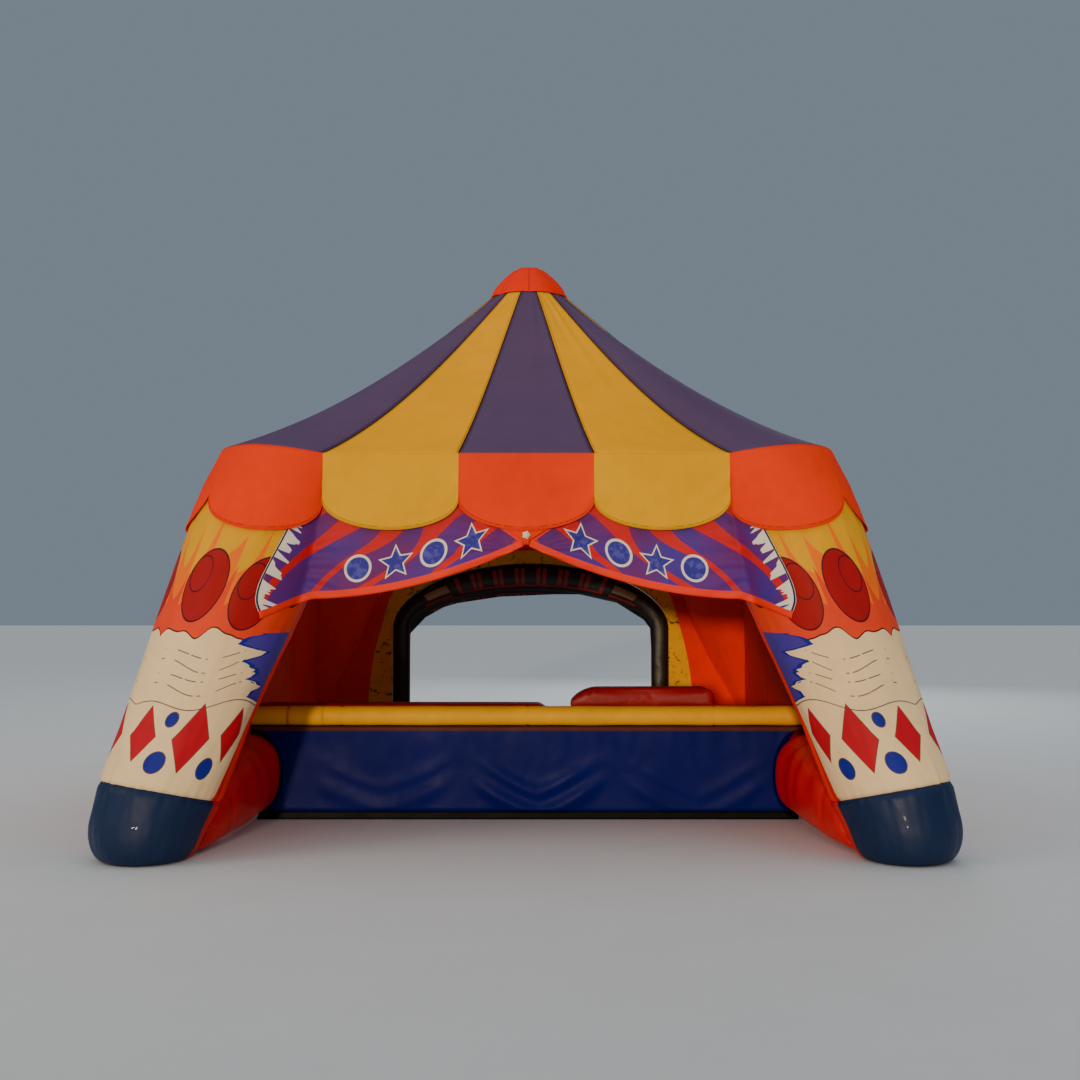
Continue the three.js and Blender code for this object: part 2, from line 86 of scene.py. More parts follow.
def add_far_light(name, towards, width, strength, colour):
    """A soft light so far off that it falls alike on tent and floor; width is its angle in degrees."""
    data = bpy.data.lights.new(name, "SUN")
    data.energy = strength
    data.angle = math.radians(width)
    data.color = colour
    light = bpy.data.objects.new(name, data)
    light.rotation_euler = Vector(towards).to_track_quat("-Z", "Y").to_euler()
    bpy.context.scene.collection.objects.link(light)


add_camera()
add_far_light("key", (0.15, 0.98, -0.073), 3, 1.62, (1.0, 0.77, 0.47))
add_far_light("sky", (0, 0.34, -0.94), 110, 0.85, (0.9, 0.95, 1.0))
add_softbox("left", (-14, -9, 8), (0, 0, 1.5), (6, 6), 380, (1.0, 0.85, 0.65))
add_softbox("back", (4, 13, 7), (0, 0, 2), (8, 6), 400, (0.9, 0.95, 1.0))

world = bpy.data.worlds.new("studio")
world.use_nodes = True
world.node_tree.nodes["Background"].inputs["Color"].default_value = (0.66, 0.82, 1.0, 1)
world.node_tree.nodes["Background"].inputs["Strength"].default_value = 0.27
bpy.context.scene.world = world

# %% [markdown]
# ## Helpers for materials
# Colours are written as the sRGB hex values that a colour picker shows, and one function turns them
# into the linear values that the renderer works in. Another adds a node to a material, with its
# settings and what is plugged into it, so that a pattern can be read from top to bottom. A pattern
# is a mask: 1 inside the shape and 0 outside, with an edge a few millimetres soft. The others build
# what many materials share: fading, weave and dents. Two constants go with them, the pitch of the
# threads that shows, in metres, and how much the usual grime darkens a colour.

# %% Helpers for materials
WEAVE = 0.005
GRIME = 0.07


def linear(hex_colour):
    """The linear RGBA of an sRGB colour such as 0xF0431F."""
    channels = [(hex_colour >> shift & 255) / 255 for shift in (16, 8, 0)]
    lit = [c / 12.92 if c <= 0.04045 else ((c + 0.055) / 1.055) ** 2.4 for c in channels]
    return (*lit, 1.0)


def add(tree, kind, inputs=None, out=0, **settings):
    """Adds a node: settings by name, inputs by socket name or number. Returns the output asked for."""
    made = tree.nodes.new("ShaderNode" + kind)
    for key, value in settings.items():
        setattr(made, key, value)
    for key, value in (inputs or {}).items():
        socket = made.inputs[key]
        if isinstance(value, bpy.types.NodeSocket):
            tree.links.new(value, socket)
        else:
            socket.default_value = value
    return made.outputs[out]


def new_material(name, roughness, ior=1.5, coat=0.0, specular=0.5):
    """A Principled material without its colour; returns it with its tree and shader."""
    material = bpy.data.materials.new(name)
    material.use_nodes = True
    shader = material.node_tree.nodes["Principled BSDF"]
    shader.inputs["Roughness"].default_value = roughness
    shader.inputs["IOR"].default_value = ior
    shader.inputs["Coat Weight"].default_value = coat
    shader.inputs["Specular IOR Level"].default_value = specular
    return material, material.node_tree, shader


def mix(tree, mask, below, above):
    """Colour above where the mask is 1, below where it is 0."""
    return add(tree, "Mix", {0: mask, 6: below, 7: above}, out=2, data_type="RGBA")


def flat_place(tree, layer="flat"):
    """The two values of a UV layer, in metres: by default the cloth's flat place."""
    apart = tree.nodes.new("ShaderNodeSeparateXYZ")
    tree.links.new(add(tree, "UVMap", uv_map=layer), apart.inputs[0])
    return apart.outputs[0], apart.outputs[1]


def inside(tree, value, limit, soft=0.004):
    """1 where value is below the limit."""
    full = add(tree, "Math", {0: limit, 1: soft}, operation="SUBTRACT")
    return add(tree, "MapRange", {0: value, 1: full, 2: limit, 3: 1.0, 4: 0.0})


def both(tree, one, other):
    """1 where both masks are 1."""
    return add(tree, "Math", {0: one, 1: other}, operation="MULTIPLY")


def blot(tree, scale, low, high):
    """A soft cloudy value from low to high, with clouds of about 1 / scale metres."""
    at = add(tree, "TexCoord", out="Object")
    cloud = add(tree, "TexNoise", {"Vector": at, "Scale": scale, "Detail": 3.0})
    return add(tree, "MapRange", {0: cloud, 1: 0.3, 2: 0.7, 3: low, 4: high})


def weathered(tree, colour, depth):
    """The colour with the fading and grime that cloth gets outdoors, in patches of 0.1 to 0.6 m."""
    shade = blot(tree, 1.7, 1.0 - depth, 1.0 + depth * 0.5)
    dust = blot(tree, 9.0, 1.0 - depth * 0.5, 1.0 + depth * 0.3)
    grime = add(tree, "Math", {0: shade, 1: dust}, operation="MULTIPLY")
    inputs = {0: 1.0, 6: colour, 7: grime}
    return add(tree, "Mix", inputs, out=2, data_type="RGBA", blend_type="MULTIPLY")


def cloth_bump(tree, depth=0.0006, wrinkle=0.004):
    """Fine weave plus soft wrinkles, with the height of each in metres."""
    at = add(tree, "TexCoord", out="UV")
    bands = 0.5 / WEAVE
    warp = add(tree, "TexWave", {"Vector": at, "Scale": bands}, out="Fac", bands_direction="X")
    weft = add(tree, "TexWave", {"Vector": at, "Scale": bands}, out="Fac", bands_direction="Y")
    weave = add(tree, "Math", {0: warp, 1: weft}, operation="ADD")
    place = add(tree, "TexCoord", out="Object")
    slack = add(tree, "TexNoise", {"Vector": place, "Scale": 6.0, "Detail": 5.0, "Roughness": 0.6})
    soft = add(tree, "Bump", {"Height": slack, "Distance": wrinkle, "Strength": 0.8})
    return add(tree, "Bump", {"Height": weave, "Distance": depth, "Strength": 0.5, "Normal": soft})


def dents(tree, scale, detail=4.0, depth=0.006, strength=0.5, twist=0.0):
    """Shallow dents about 1 / scale metres wide, that break up the reflections of smooth vinyl."""
    at = add(tree, "TexCoord", out="Object")
    cloud = {"Vector": at, "Scale": scale, "Detail": detail, "Distortion": twist}
    height = add(tree, "TexNoise", cloud)
    return add(tree, "Bump", {"Height": height, "Distance": depth, "Strength": strength})


def finish(tree, shader, colour, grime, bump):
    """Plugs the weathered colour and the bump into the shader."""
    tree.links.new(weathered(tree, colour, grime), shader.inputs["Base Color"])
    tree.links.new(bump, shader.inputs["Normal"])


# %% [markdown]
# ## Materials of the plain cloth
# The roof, valance and walls are polyester cloth with a thin coating: a matt satin face with a fine
# even weave. The threads are half a millimetre apart, too fine to show from twelve metres, so the
# weave is drawn at 5 mm, just visible close up. Fading, dust and the soft unevenness of stretched
# cloth do the rest. The vinyl of feet, counter and bolsters has no weave but a broad soft shine.


# %% Plain cloth and vinyl
def coated_polyester(name, colour):
    """Polyurethane-coated polyester: satin, with a fine weave and slight fading."""
    material, tree, shader = new_material(name, 0.68, ior=1.46, specular=0.08)
    finish(tree, shader, linear(colour), GRIME, cloth_bump(tree))
    return material


def stitched_polyester(name, colour, thread):
    """Coated polyester with a doubled edge 25 mm wide and one row of stitches 18 mm from it."""
    material, tree, shader = new_material(name, 0.68, ior=1.46, specular=0.08)
    rim, along = flat_place(tree, "rim")
    doubled = inside(tree, rim, 0.028, 0.006)
    row = add(tree, "Math", {0: rim, 1: 0.018, 2: 0.0015}, operation="COMPARE")
    dash = add(tree, "Math", {0: along, 1: 0.006}, operation="PINGPONG")
    dash = add(tree, "Math", {0: dash, 1: 0.002}, operation="GREATER_THAN")
    deeper = add(tree, "HueSaturation", {"Value": 0.75, "Color": linear(colour)})
    sewn = mix(tree, both(tree, doubled, 0.35), linear(colour), deeper)
    sewn = mix(tree, both(tree, row, dash), sewn, linear(thread))
    step = add(tree, "Bump", {"Height": doubled, "Distance": 0.002, "Normal": cloth_bump(tree)})
    finish(tree, shader, sewn, GRIME, step)
    return material


def pvc_tarpaulin(name, colour, rough, coat, specular):
    """PVC-coated tarpaulin: smooth, with a broad shine that shallow dents break up."""
    material, tree, shader = new_material(name, rough, ior=1.53, coat=coat, specular=specular)
    finish(tree, shader, linear(colour), 0.1, dents(tree, 9.0, strength=0.6))
    tree.links.new(blot(tree, 5.0, rough - 0.06, rough + 0.1), shader.inputs["Roughness"])
    return material


roof_purple = stitched_polyester("coated polyester aubergine", 0x604A6C, 0x2A1A30)
roof_yellow = stitched_polyester("coated polyester golden", 0xFFB000, 0x8A5410)
seam_brown = coated_polyester("bonded seam tape", 0x3A1620)
rosette_cream = coated_polyester("polyester ribbon cream", 0xF4E2C4)
cap_red = coated_polyester("coated polyester signal red", 0xFF3005)
hem_yellow = coated_polyester("polyester binding yellow", 0xD89A00)
valance_yellow = stitched_polyester("coated polyester yellow", 0xF2AE00, 0x8A5410)
frame_cloth = coated_polyester("coated polyester pale grey", 0xD6D2CA)
foot_navy = pvc_tarpaulin("PVC tarpaulin navy", 0x0C2248, rough=0.5, coat=0.03, specular=0.24)
tube_yellow = pvc_tarpaulin("vinyl yellow", 0xF2B200, rough=0.5, coat=0.0, specular=0.15)
bolster_red = pvc_tarpaulin("PVC tarpaulin red", 0xDC0A08, rough=0.46, coat=0.05, specular=0.3)
pad_red = pvc_tarpaulin("vinyl dark red", 0x9C0610, rough=0.5, coat=0.05, specular=0.3)
lining_red = pvc_tarpaulin("PVC tarpaulin scarlet", 0xE01A10, rough=0.5, coat=0.0, specular=0.2)
trim_red = coated_polyester("coated polyester vermilion", 0xFF3C08)
valance_red = stitched_polyester("coated polyester vermilion sewn", 0xFF3C08, 0x8C1C08)

# %% [markdown]
# ## Floor
# A pale even floor, far larger than the tent.


# %% Floor
def add_floor():
    bm = bmesh.new()
    bmesh.ops.create_grid(bm, x_segments=1, y_segments=1, size=60)
    mesh = bpy.data.meshes.new("floor")
    bm.to_mesh(mesh)
    bm.free()
    material, tree, shader = new_material("painted studio floor", 0.8)
    tree.links.new(weathered(tree, linear(0xE6E5E1), 0.02), shader.inputs["Base Color"])
    mesh.materials.append(material)
    floor = bpy.data.objects.new("floor", mesh)
    bpy.context.scene.collection.objects.link(floor)


add_floor()

# %% [markdown]
# ## How every cloth piece is made
# Each sheet starts as Blender's flat grid. Its two sides are called s and t and run from 0 to 1. A
# formula says where each corner of the grid goes, and the flat place of the same corner, in metres,
# is kept as its UV, so that prints and weave lie on the cloth as they would on the cutting table.
# A tube is the same grid rolled up and closed.


# %% Sheets and tubes from a grid
def lerp(a, b, t):
    return a + (b - a) * t


def smooth(t):
    t = min(max(t, 0.0), 1.0)
    return t * t * (3 - 2 * t)


def sheet_mesh(columns, rows, place, flat, close=False):
    """A grid of columns by rows cells, bent by place(s, t), with flat(s, t) as its UV in metres."""
    bm = bmesh.new()
    bmesh.ops.create_grid(bm, x_segments=columns, y_segments=rows, size=0.5)
    uv = bm.loops.layers.uv.new("flat")
    where = {vert: (vert.co.x + 0.5, vert.co.y + 0.5) for vert in bm.verts}
    for face in bm.faces:
        for loop in face.loops:
            loop[uv].uv = flat(*where[loop.vert])
    for vert, (s, t) in where.items():
        vert.co = place(s, t)
    if close:
        bmesh.ops.remove_doubles(bm, verts=bm.verts, dist=0.0002)
        edges = [edge for edge in bm.edges if edge.is_boundary]
        bmesh.ops.holes_fill(bm, edges=edges, sides=0)
        bmesh.ops.recalc_face_normals(bm, faces=bm.faces)
    return bm


def add_rim_layer(bm, rim_place):
    """A second UV layer, worked out from the flat place: the distance to an edge, and a height."""
    flat = bm.loops.layers.uv["flat"]
    rim = bm.loops.layers.uv.new("rim")
    for face in bm.faces:
        for loop in face.loops:
            loop[rim].uv = rim_place(*loop[flat].uv)


def face_away(bm, middle):
    """Turns an open sheet so that its faces look away from the point middle."""
    bm.normal_update()
    facing = sum(face.normal.dot(face.calc_center_median() - middle) for face in bm.faces)
    if facing < 0:
        bmesh.ops.reverse_faces(bm, faces=bm.faces)


def add_piece(bm, name, materials, nodes=(), thickness=0.0):
    """Makes the object, lets it ride with the tent and stand for the frame's own nodes."""
    mesh = bpy.data.meshes.new(name)
    bm.to_mesh(mesh)
    bm.free()
    mesh.shade_smooth()
    for material in materials:
        mesh.materials.append(material)
    piece = bpy.data.objects.new(name, mesh)
    bpy.context.scene.collection.objects.link(piece)
    if thickness:
        solid = piece.modifiers.new("cloth thickness", "SOLIDIFY")
        solid.thickness = thickness
        solid.offset = -1
    print(name, len(mesh.polygons), "faces")
    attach(piece, "root")
    if nodes:
        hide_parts(*nodes)
    return piece


def cloth_area(piece):
    """Area of one face of a cloth piece in square metres."""
    return sum(polygon.area for polygon in piece.data.polygons)


def tube_along(columns, line, radius):
    """A closed tube round a line of points; radius is a number or a function of t."""
    count = len(line) - 1

    def place(s, t):
        k = min(int(t * count + 1e-6), count)
        along = (line[min(k + 1, count)] - line[max(k - 1, 0)]).normalized()
        side = along.cross(Vector((0, 0, 1)))
        if side.length < 1e-3:
            side = Vector((1, 0, 0))
        side.normalize()
        up = side.cross(along)
        size = radius(t) if callable(radius) else radius
        angle = 2 * math.pi * s
        return line[k] + (side * math.cos(angle) + up * math.sin(angle)) * size

    return sheet_mesh(columns, count, place, lambda s, t: (s, t), close=True)


def level_line(end, steps, y, z):
    """Points along x from -end to end, at one y and z."""
    return [Vector((lerp(-end, end, i / steps), y, z)) for i in range(steps + 1)]


def on_profile(profile, share):
    """Radius and height at a share, from 0 to 1, of a turned profile given by its corners."""
    turns = len(profile) - 1
    k = min(int(share * turns), turns - 1)
    part = share * turns - k
    return tuple(lerp(a, b, part) for a, b in zip(profile[k], profile[k + 1]))


def join_into(target, part):
    """Adds the bmesh part to the bmesh target and frees it."""
    mesh = bpy.data.meshes.new("part")
    part.to_mesh(mesh)
    part.free()
    target.from_mesh(mesh)
    bpy.data.meshes.remove(mesh)


# A point inside the tent, and the signs of x and y that move the front right corner to each other one.
MIDDLE = Vector((0, 0, 1.5))
CORNERS = {
    "front_right": (1, 1),
    "rear_right": (1, -1),
    "rear_left": (-1, -1),
    "front_left": (-1, 1),
}


def mirrored(point, corner):
    """A point of the front right corner, moved to another corner."""
    sx, sy = CORNERS[corner]
    return Vector((point[0] * sx, point[1] * sy, point[2]))


# %% [markdown]
# ## The legs' shape
# A leg is a round air tube that tapers towards the ground, with a slight waist, and leans in towards
# the roof along the diagonal. Its centre line and radius follow the same formulas as the frame's
# solid, so the dressed leg stays in its place; only the foot is drawn in a little more at the ground.
# What the real leg adds is relief: the welded seam above the navy foot is pulled in with puckers on
# both sides, the lining is welded on along two more seams, and the cloth between them swells.
# Sculpting could give that too, but with formulas the four legs stay alike, and the walls, the banner
# and the valance can ask where a leg's skin is.

# %% Leg formulas
SEAM_Z = 0.45
SEAM_TILT = 0.10
SEAM_SLIT = 0.0005
FOOT_BASE_R = 0.27
FOOT_ROUND = 0.28
FOOT_TUCK = 0.05
LEG_TOP = 2.80
DOME_RISE = 0.125
MEAN_GIRTH_R = 0.53
OUTERMOST = math.radians(-45)
LINING_EDGE = math.radians(184)


def slim(z):
    """How much thinner than its plain taper a leg is, and nearer the axis by as much."""
    down = max(0.0, (2.65 - z) / 2.65)
    return 0.044 * math.sin(math.pi * down) + 0.014 * down


def leg_centre(z):
    return 2.66 - 0.29 * (z - 0.2) - 0.03636 * (z - 0.2) * (z - 1.58) - slim(z)


def leg_radius(z):
    return 0.575 - 0.165 * max(0.0, (2.3 - z) / 2.1) ** 1.8 - slim(z)


def foot_radius(z):
    down = max(0.0, (FOOT_ROUND - z) / FOOT_ROUND)
    full = leg_radius(max(z, FOOT_ROUND))
    return FOOT_BASE_R + (full - FOOT_BASE_R) * math.sqrt(1 - down * down)


def half_chord(x, z):
    """Half the width of the leg's round section at height z where a line at x cuts it, or 0."""
    return math.sqrt(max(0.0, leg_radius(z) ** 2 - (x - leg_centre(z)) ** 2))


def outward_share(angle):
    """1 on the side of the leg that faces out along the diagonal, -1 on the inner side."""
    return math.cos(angle - OUTERMOST)


def off_outermost(angle):
    """How far an angle lies from the leg's outermost line, in radians, the same both ways."""
    return abs((angle - OUTERMOST + math.pi) % (2 * math.pi) - math.pi)


def seam_z(angle):
    return SEAM_Z + SEAM_TILT * outward_share(angle)


def leg_relief(angle, z):
    """How far the cloth stands in or out of the plain tube, in metres."""
    above = z - seam_z(angle)
    pinch = -0.016 * math.exp(-((above / 0.022) ** 2))
    waves = math.cos(34 * angle) + 0.6 * math.cos(21 * angle + 1.0)
    pucker = 0.0032 * waves * math.exp(-abs(above) / 0.07)
    to_lining = off_outermost(angle) - off_outermost(LINING_EDGE)
    lining = -0.010 * math.exp(-((to_lining * leg_radius(z) / 0.018) ** 2))
    at = Vector((1.6 * math.cos(angle), 1.6 * math.sin(angle), z * 0.9))
    slack = 0.010 * noise.noise(at * 1.7) + 0.004 * noise.noise(at * 5.0)
    gathered = 0.006 * math.cos(17 * angle + 2 * z) * smooth((z - 1.9) / 0.7)
    return pinch + pucker + lining + slack + gathered


def leg_point(angle, z, radius, corner):
    """A point of the leg's skin at an angle and height, with its relief and the tilt of its seam."""
    c = leg_centre(z)
    lift = SEAM_TILT * outward_share(angle) * max(0.0, 1 - abs(z - SEAM_Z) / 0.45)
    wide = radius + leg_relief(angle, z + lift)
    return mirrored((c + wide * math.cos(angle), -c + wide * math.sin(angle), z + lift), corner)


def around(angle):
    """Distance along the leg's girth from its outermost line, in metres, the same both ways."""
    return off_outermost(angle) * MEAN_GIRTH_R


# %% [markdown]
# ## A kit of printed shapes
# The printed cover could be painted as an image, but a picture has a fixed size and this print has
# to be sharp from any distance. So each shape is a mask worked out by a few math nodes from the
# cloth's flat coordinates.


# %% Printed shapes
def off_line(tree, value, at):
    """How far value is from at, the same both ways."""
    off = add(tree, "Math", {0: value, 1: at}, operation="SUBTRACT")
    return add(tree, "Math", {0: off}, operation="ABSOLUTE")


def ring_line(tree, value, at, width):
    """A line of the given width where value equals at."""
    return inside(tree, off_line(tree, value, at), width * 0.5)


def outlined(tree, colour, value, size, paint, ink, width):
    """The colour with a painted shape where value is below size, and an ink line round it."""
    colour = mix(tree, inside(tree, value, size), colour, paint)
    return mix(tree, ring_line(tree, value, size, width), colour, ink)


def disc_reach(tree, u, v, at, stretch=1.0):
    """Radius across of the upright ellipse round at whose edge runs through a point."""
    du = add(tree, "Math", {0: u, 1: at[0]}, operation="SUBTRACT")
    dv = add(tree, "Math", {0: v, 1: at[1]}, operation="SUBTRACT")
    dv = add(tree, "Math", {0: dv, 1: stretch}, operation="DIVIDE")
    across = add(tree, "CombineXYZ", {0: du, 1: dv})
    return add(tree, "VectorMath", {0: across}, out="Value", operation="LENGTH")


def tongues(tree, u, pitch, height, seed):
    """Height of a row of flame tongues above its base line at u: pointed, curved and uneven."""
    shifted = add(tree, "Math", {0: u, 1: seed}, operation="ADD")
    wobble = add(tree, "TexNoise", {"W": shifted, "Scale": 2.3}, noise_dimensions="1D")
    bent = add(tree, "Math", {0: wobble, 1: pitch * 0.9, 2: u}, operation="MULTIPLY_ADD")
    turn = add(tree, "Math", {0: bent, 1: pitch}, operation="DIVIDE")
    phase = add(tree, "Math", {0: turn}, operation="FRACT")
    rise = add(tree, "Math", {0: phase, 1: 1.9}, operation="POWER")
    uneven = add(tree, "Math", {0: wobble, 1: 1.3 * height}, operation="MULTIPLY")
    return add(tree, "Math", {0: rise, 1: uneven}, operation="MULTIPLY")


def star_reach(tree, u, v):
    """Outer radius of the five-pointed star round u = v = 0 whose edge runs through a point."""
    across = add(tree, "CombineXYZ", {0: u, 1: v})
    far = add(tree, "VectorMath", {0: across}, out="Value", operation="LENGTH")
    turn = add(tree, "Math", {0: u, 1: v}, operation="ARCTAN2")
    half_tip = math.pi / 5
    part = add(tree, "Math", {0: turn, 1: half_tip, 2: -half_tip}, operation="WRAP")
    part = add(tree, "Math", {0: part}, operation="ABSOLUTE")
    tip = both(tree, add(tree, "Math", {0: part}, operation="COSINE"), far)
    flank = both(tree, add(tree, "Math", {0: part}, operation="SINE"), far)
    # The star's edge runs from its tip (1, 0) to the notch between two tips.
    notch_r = 0.45
    slope = (1 - notch_r * math.cos(half_tip)) / (notch_r * math.sin(half_tip))
    return add(tree, "Math", {0: flank, 1: slope, 2: tip}, operation="MULTIPLY_ADD")


# %% [markdown]
# ## The legs' printed cover
# On the real tent the cover is bright digital print on PVC tarpaulin: golden yellow at the top,
# flames, a hot red field, a cream band and cream below with crimson and blue accents, and a red
# border where the lining begins. The colours and their heights are kept here, and the figures are
# plain fairground ones: balloons, streamers, lozenges and discs. All of them are drawn on the
# leg's own girth and height, so both legs of the front carry the same print, mirrored.


# %% Printed PVC tarpaulin of the legs
def leg_print():
    """Digitally printed PVC tarpaulin: vivid flat colours with a slight satin shine."""
    material, tree, shader = new_material("printed PVC tarpaulin", 0.5, specular=0.12)
    girth, height = flat_place(tree)
    yellow, orange, hot = linear(0xECA800), linear(0xFF7410), linear(0xF04420)
    dark, cream, grey = linear(0xA8161C), linear(0xFCD9A4), linear(0x4A4254)
    crimson, blue, violet = linear(0xC01426), linear(0x1C2490), linear(0x4A3A9C)
    ink = linear(0x3A1222)

    # Golden yellow at the top, then two rows of flames over the red field.
    tall = tongues(tree, girth, 0.17, 0.52, seed=3.1)
    low = tongues(tree, girth, 0.13, 0.44, seed=7.7)
    edge_tall = add(tree, "Math", {0: tall, 1: 1.98}, operation="ADD")
    edge_low = add(tree, "Math", {0: low, 1: 1.76}, operation="ADD")
    colour = mix(tree, inside(tree, height, edge_tall), yellow, orange)
    colour = mix(tree, inside(tree, height, edge_low), colour, hot)

    # Balloons in a darker red, half a metre tall, each with a crease down its side.
    balloons = (((0.26, 1.90), 0.16, 1.6), ((0.66, 1.84), 0.17, 1.5), ((1.02, 1.95), 0.14, 1.5))
    for at, size, stretch in balloons:
        reach = disc_reach(tree, girth, height, at, stretch)
        colour = outlined(tree, colour, reach, size, dark, ink, 0.012)
        shine_at = (at[0] - size * 0.38, at[1] + size * 0.5)
        shine = disc_reach(tree, girth, height, shine_at, stretch)
        crease = both(tree, ring_line(tree, shine, size * 0.5, 0.010), inside(tree, reach, size))
        colour = mix(tree, crease, colour, ink)

    # The cream band and the cream field below it, with a wavy upper edge.
    wave = add(tree, "TexNoise", {"W": girth, "Scale": 3.2, "Detail": 1.0}, noise_dimensions="1D")
    crest = add(tree, "Math", {0: wave, 1: 0.34, 2: 1.37}, operation="MULTIPLY_ADD")
    below = inside(tree, height, crest)
    colour = mix(tree, below, colour, cream)
    above_crest = add(tree, "Math", {0: height, 1: crest}, operation="SUBTRACT")
    colour = mix(tree, ring_line(tree, above_crest, 0.0, 0.014), colour, ink)

    # Streamers: thin dark lines that swing across the cream band, and one long line below it.
    swing = add(tree, "Math", {0: girth, 1: 9.0}, operation="MULTIPLY")
    swing = add(tree, "Math", {0: swing}, operation="SINE")
    levels, bows = (1.42, 1.34, 1.26, 1.18, 1.07), (0.035, 0.05, 0.03, 0.045, 0.03)
    for level, bow, share in zip(levels, bows, (0.5, 0.52, 0.5, 0.52, 0.9)):
        path = add(tree, "Math", {0: swing, 1: bow, 2: level}, operation="MULTIPLY_ADD")
        over = add(tree, "Math", {0: height, 1: path}, operation="SUBTRACT")
        part = add(tree, "TexNoise", {"W": girth, "Scale": 4.0 + level * 3}, noise_dimensions="1D")
        line = both(tree, ring_line(tree, over, 0.0, 0.011), inside(tree, part, share, 0.02))
        colour = mix(tree, both(tree, line, below), colour, grey)

    # A violet field beside the lining, that reaches into the band in points of uneven length.
    teeth = add(tree, "Math", {0: height, 1: 0.062}, operation="PINGPONG")
    uneven = add(tree, "TexNoise", {"W": height, "Scale": 11.0}, noise_dimensions="1D")
    teeth = add(tree, "Math", {0: teeth, 1: uneven}, operation="MULTIPLY")
    teeth = add(tree, "Math", {0: teeth, 1: 6.0, 2: 0.66}, operation="MULTIPLY_ADD")
    narrow = add(tree, "MapRange", {0: height, 1: 1.54, 2: 1.05, 3: 0.0, 4: 0.36})
    teeth = add(tree, "Math", {0: teeth, 1: narrow}, operation="ADD")
    fringe = inside(tree, teeth, girth)
    band = both(tree, inside(tree, height, 1.56), inside(tree, 1.04, height))
    colour = mix(tree, both(tree, band, fringe), colour, violet)
    past = add(tree, "Math", {0: girth, 1: teeth}, operation="SUBTRACT")
    colour = mix(tree, both(tree, band, ring_line(tree, past, 0.0, 0.05)), colour, blue)

    # Crimson lozenges and blue discs on the lower field.
    for at, half in (((0.20, 0.86), 0.13), ((0.62, 0.84), 0.15), ((0.98, 0.86), 0.11)):
        aside, over = off_line(tree, girth, at[0]), off_line(tree, height, at[1])
        span = add(tree, "Math", {0: over, 1: 0.62, 2: aside}, operation="MULTIPLY_ADD")
        colour = outlined(tree, colour, span, half, crimson, ink, 0.010)
    for at, size in (((0.41, 0.66), 0.085), ((0.41, 0.98), 0.05), ((0.84, 0.64), 0.07)):
        reach = disc_reach(tree, girth, height, at)
        colour = outlined(tree, colour, reach, size, blue, ink, 0.010)

    # The red border beside the lining, wider towards the foot, and the lining itself.
    rim, _ = flat_place(tree, "rim")
    border = add(tree, "MapRange", {0: height, 1: 0.95, 2: 0.45, 3: 0.02, 4: 0.10})
    colour = mix(tree, inside(tree, rim, border), colour, linear(0xE81E12))
    colour = mix(tree, inside(tree, rim, 0.0), colour, linear(0xFF2C06))

    finish(tree, shader, colour, 0.08, dents(tree, 7.0, detail=5.0))
    return material


printed_cover = leg_print()


def add_leg(corner):
    def place(s, t):
        # The last tenth of the grid's rows closes the tube with a flat dome.
        angle = 2 * math.pi * s + OUTERMOST
        if t < 0.9:
            z = SEAM_Z + SEAM_SLIT + (LEG_TOP - SEAM_Z) * t / 0.9
            return leg_point(angle, z, leg_radius(z), corner)
        cap = (t - 0.9) / 0.1
        z = LEG_TOP + DOME_RISE * math.sin(cap * math.pi / 2)
        narrowed = math.sqrt(max(0.0, 1 - (cap * 0.985) ** 3))
        return leg_point(angle, z, leg_radius(z) * narrowed, corner)

    def flat(s, t):
        z = SEAM_Z + (LEG_TOP - SEAM_Z) * min(t / 0.9, 1.05)
        return around(2 * math.pi * s + OUTERMOST), z

    def to_lining(girth, z):
        return around(LINING_EDGE) - girth, z

    bm = sheet_mesh(150, 110, place, flat, close=True)
    add_rim_layer(bm, to_lining)
    add_piece(bm, "cover_leg_" + corner, [printed_cover], ["leg_" + corner])


def add_foot(corner):
    def place(s, t):
        angle = 2 * math.pi * s + OUTERMOST
        z = (SEAM_Z - SEAM_SLIT) * t
        tilt = SEAM_TILT * outward_share(angle) * z / SEAM_Z
        c = leg_centre(z) - FOOT_TUCK * max(0.0, 1 - z / FOOT_ROUND) ** 2
        hem = 0.0035 * math.cos(46 * angle) * math.exp(-z / 0.06) * smooth(z / 0.02)
        wide = foot_radius(z) + leg_relief(angle, z + tilt) * smooth(z / 0.1) + hem
        return mirrored((c + wide * math.cos(angle), -c + wide * math.sin(angle), z + tilt), corner)

    bm = sheet_mesh(150, 40, place, lambda s, t: (s * 2.8, t * SEAM_Z), close=True)
    for face in bm.faces:
        middle = mirrored(face.calc_center_median(), corner)
        c = leg_centre(middle.z)
        angle = math.atan2(middle.y + c, middle.x - c)
        face.material_index = 1 if off_outermost(angle) > off_outermost(LINING_EDGE) else 0
    add_piece(bm, "cover_foot_" + corner, [foot_navy, lining_red], ["foot_" + corner])


for corner in CORNERS:
    add_leg(corner)
    add_foot(corner)

# %% [markdown]
# ## The roof
# The roof is sewn from sixteen gores, purple and yellow by turns. Cloth pulled between a small ring
# and a wide eave is straight over the middle of a side and hollow over a leg, where the eave stands
# further out. Between two seams it dips a little, and near the crown, where there is more cloth than
# it needs, it lies in soft upright folds. A narrow dark tape is bonded over every seam. A simulated
# cloth would need its edges pinned all round, and then hardly move, so the gores are formulas too.

# %% Roof formulas
EAVE_HALF = 2.33
EAVE_Z = 2.86
STRAIGHT_HALF = 1.48
HIP_RISE = 0.08
CROWN_R = 0.33
CROWN_Z = 4.520
GORE_LENGTH = 2.7
WRAP_GAP = 0.026


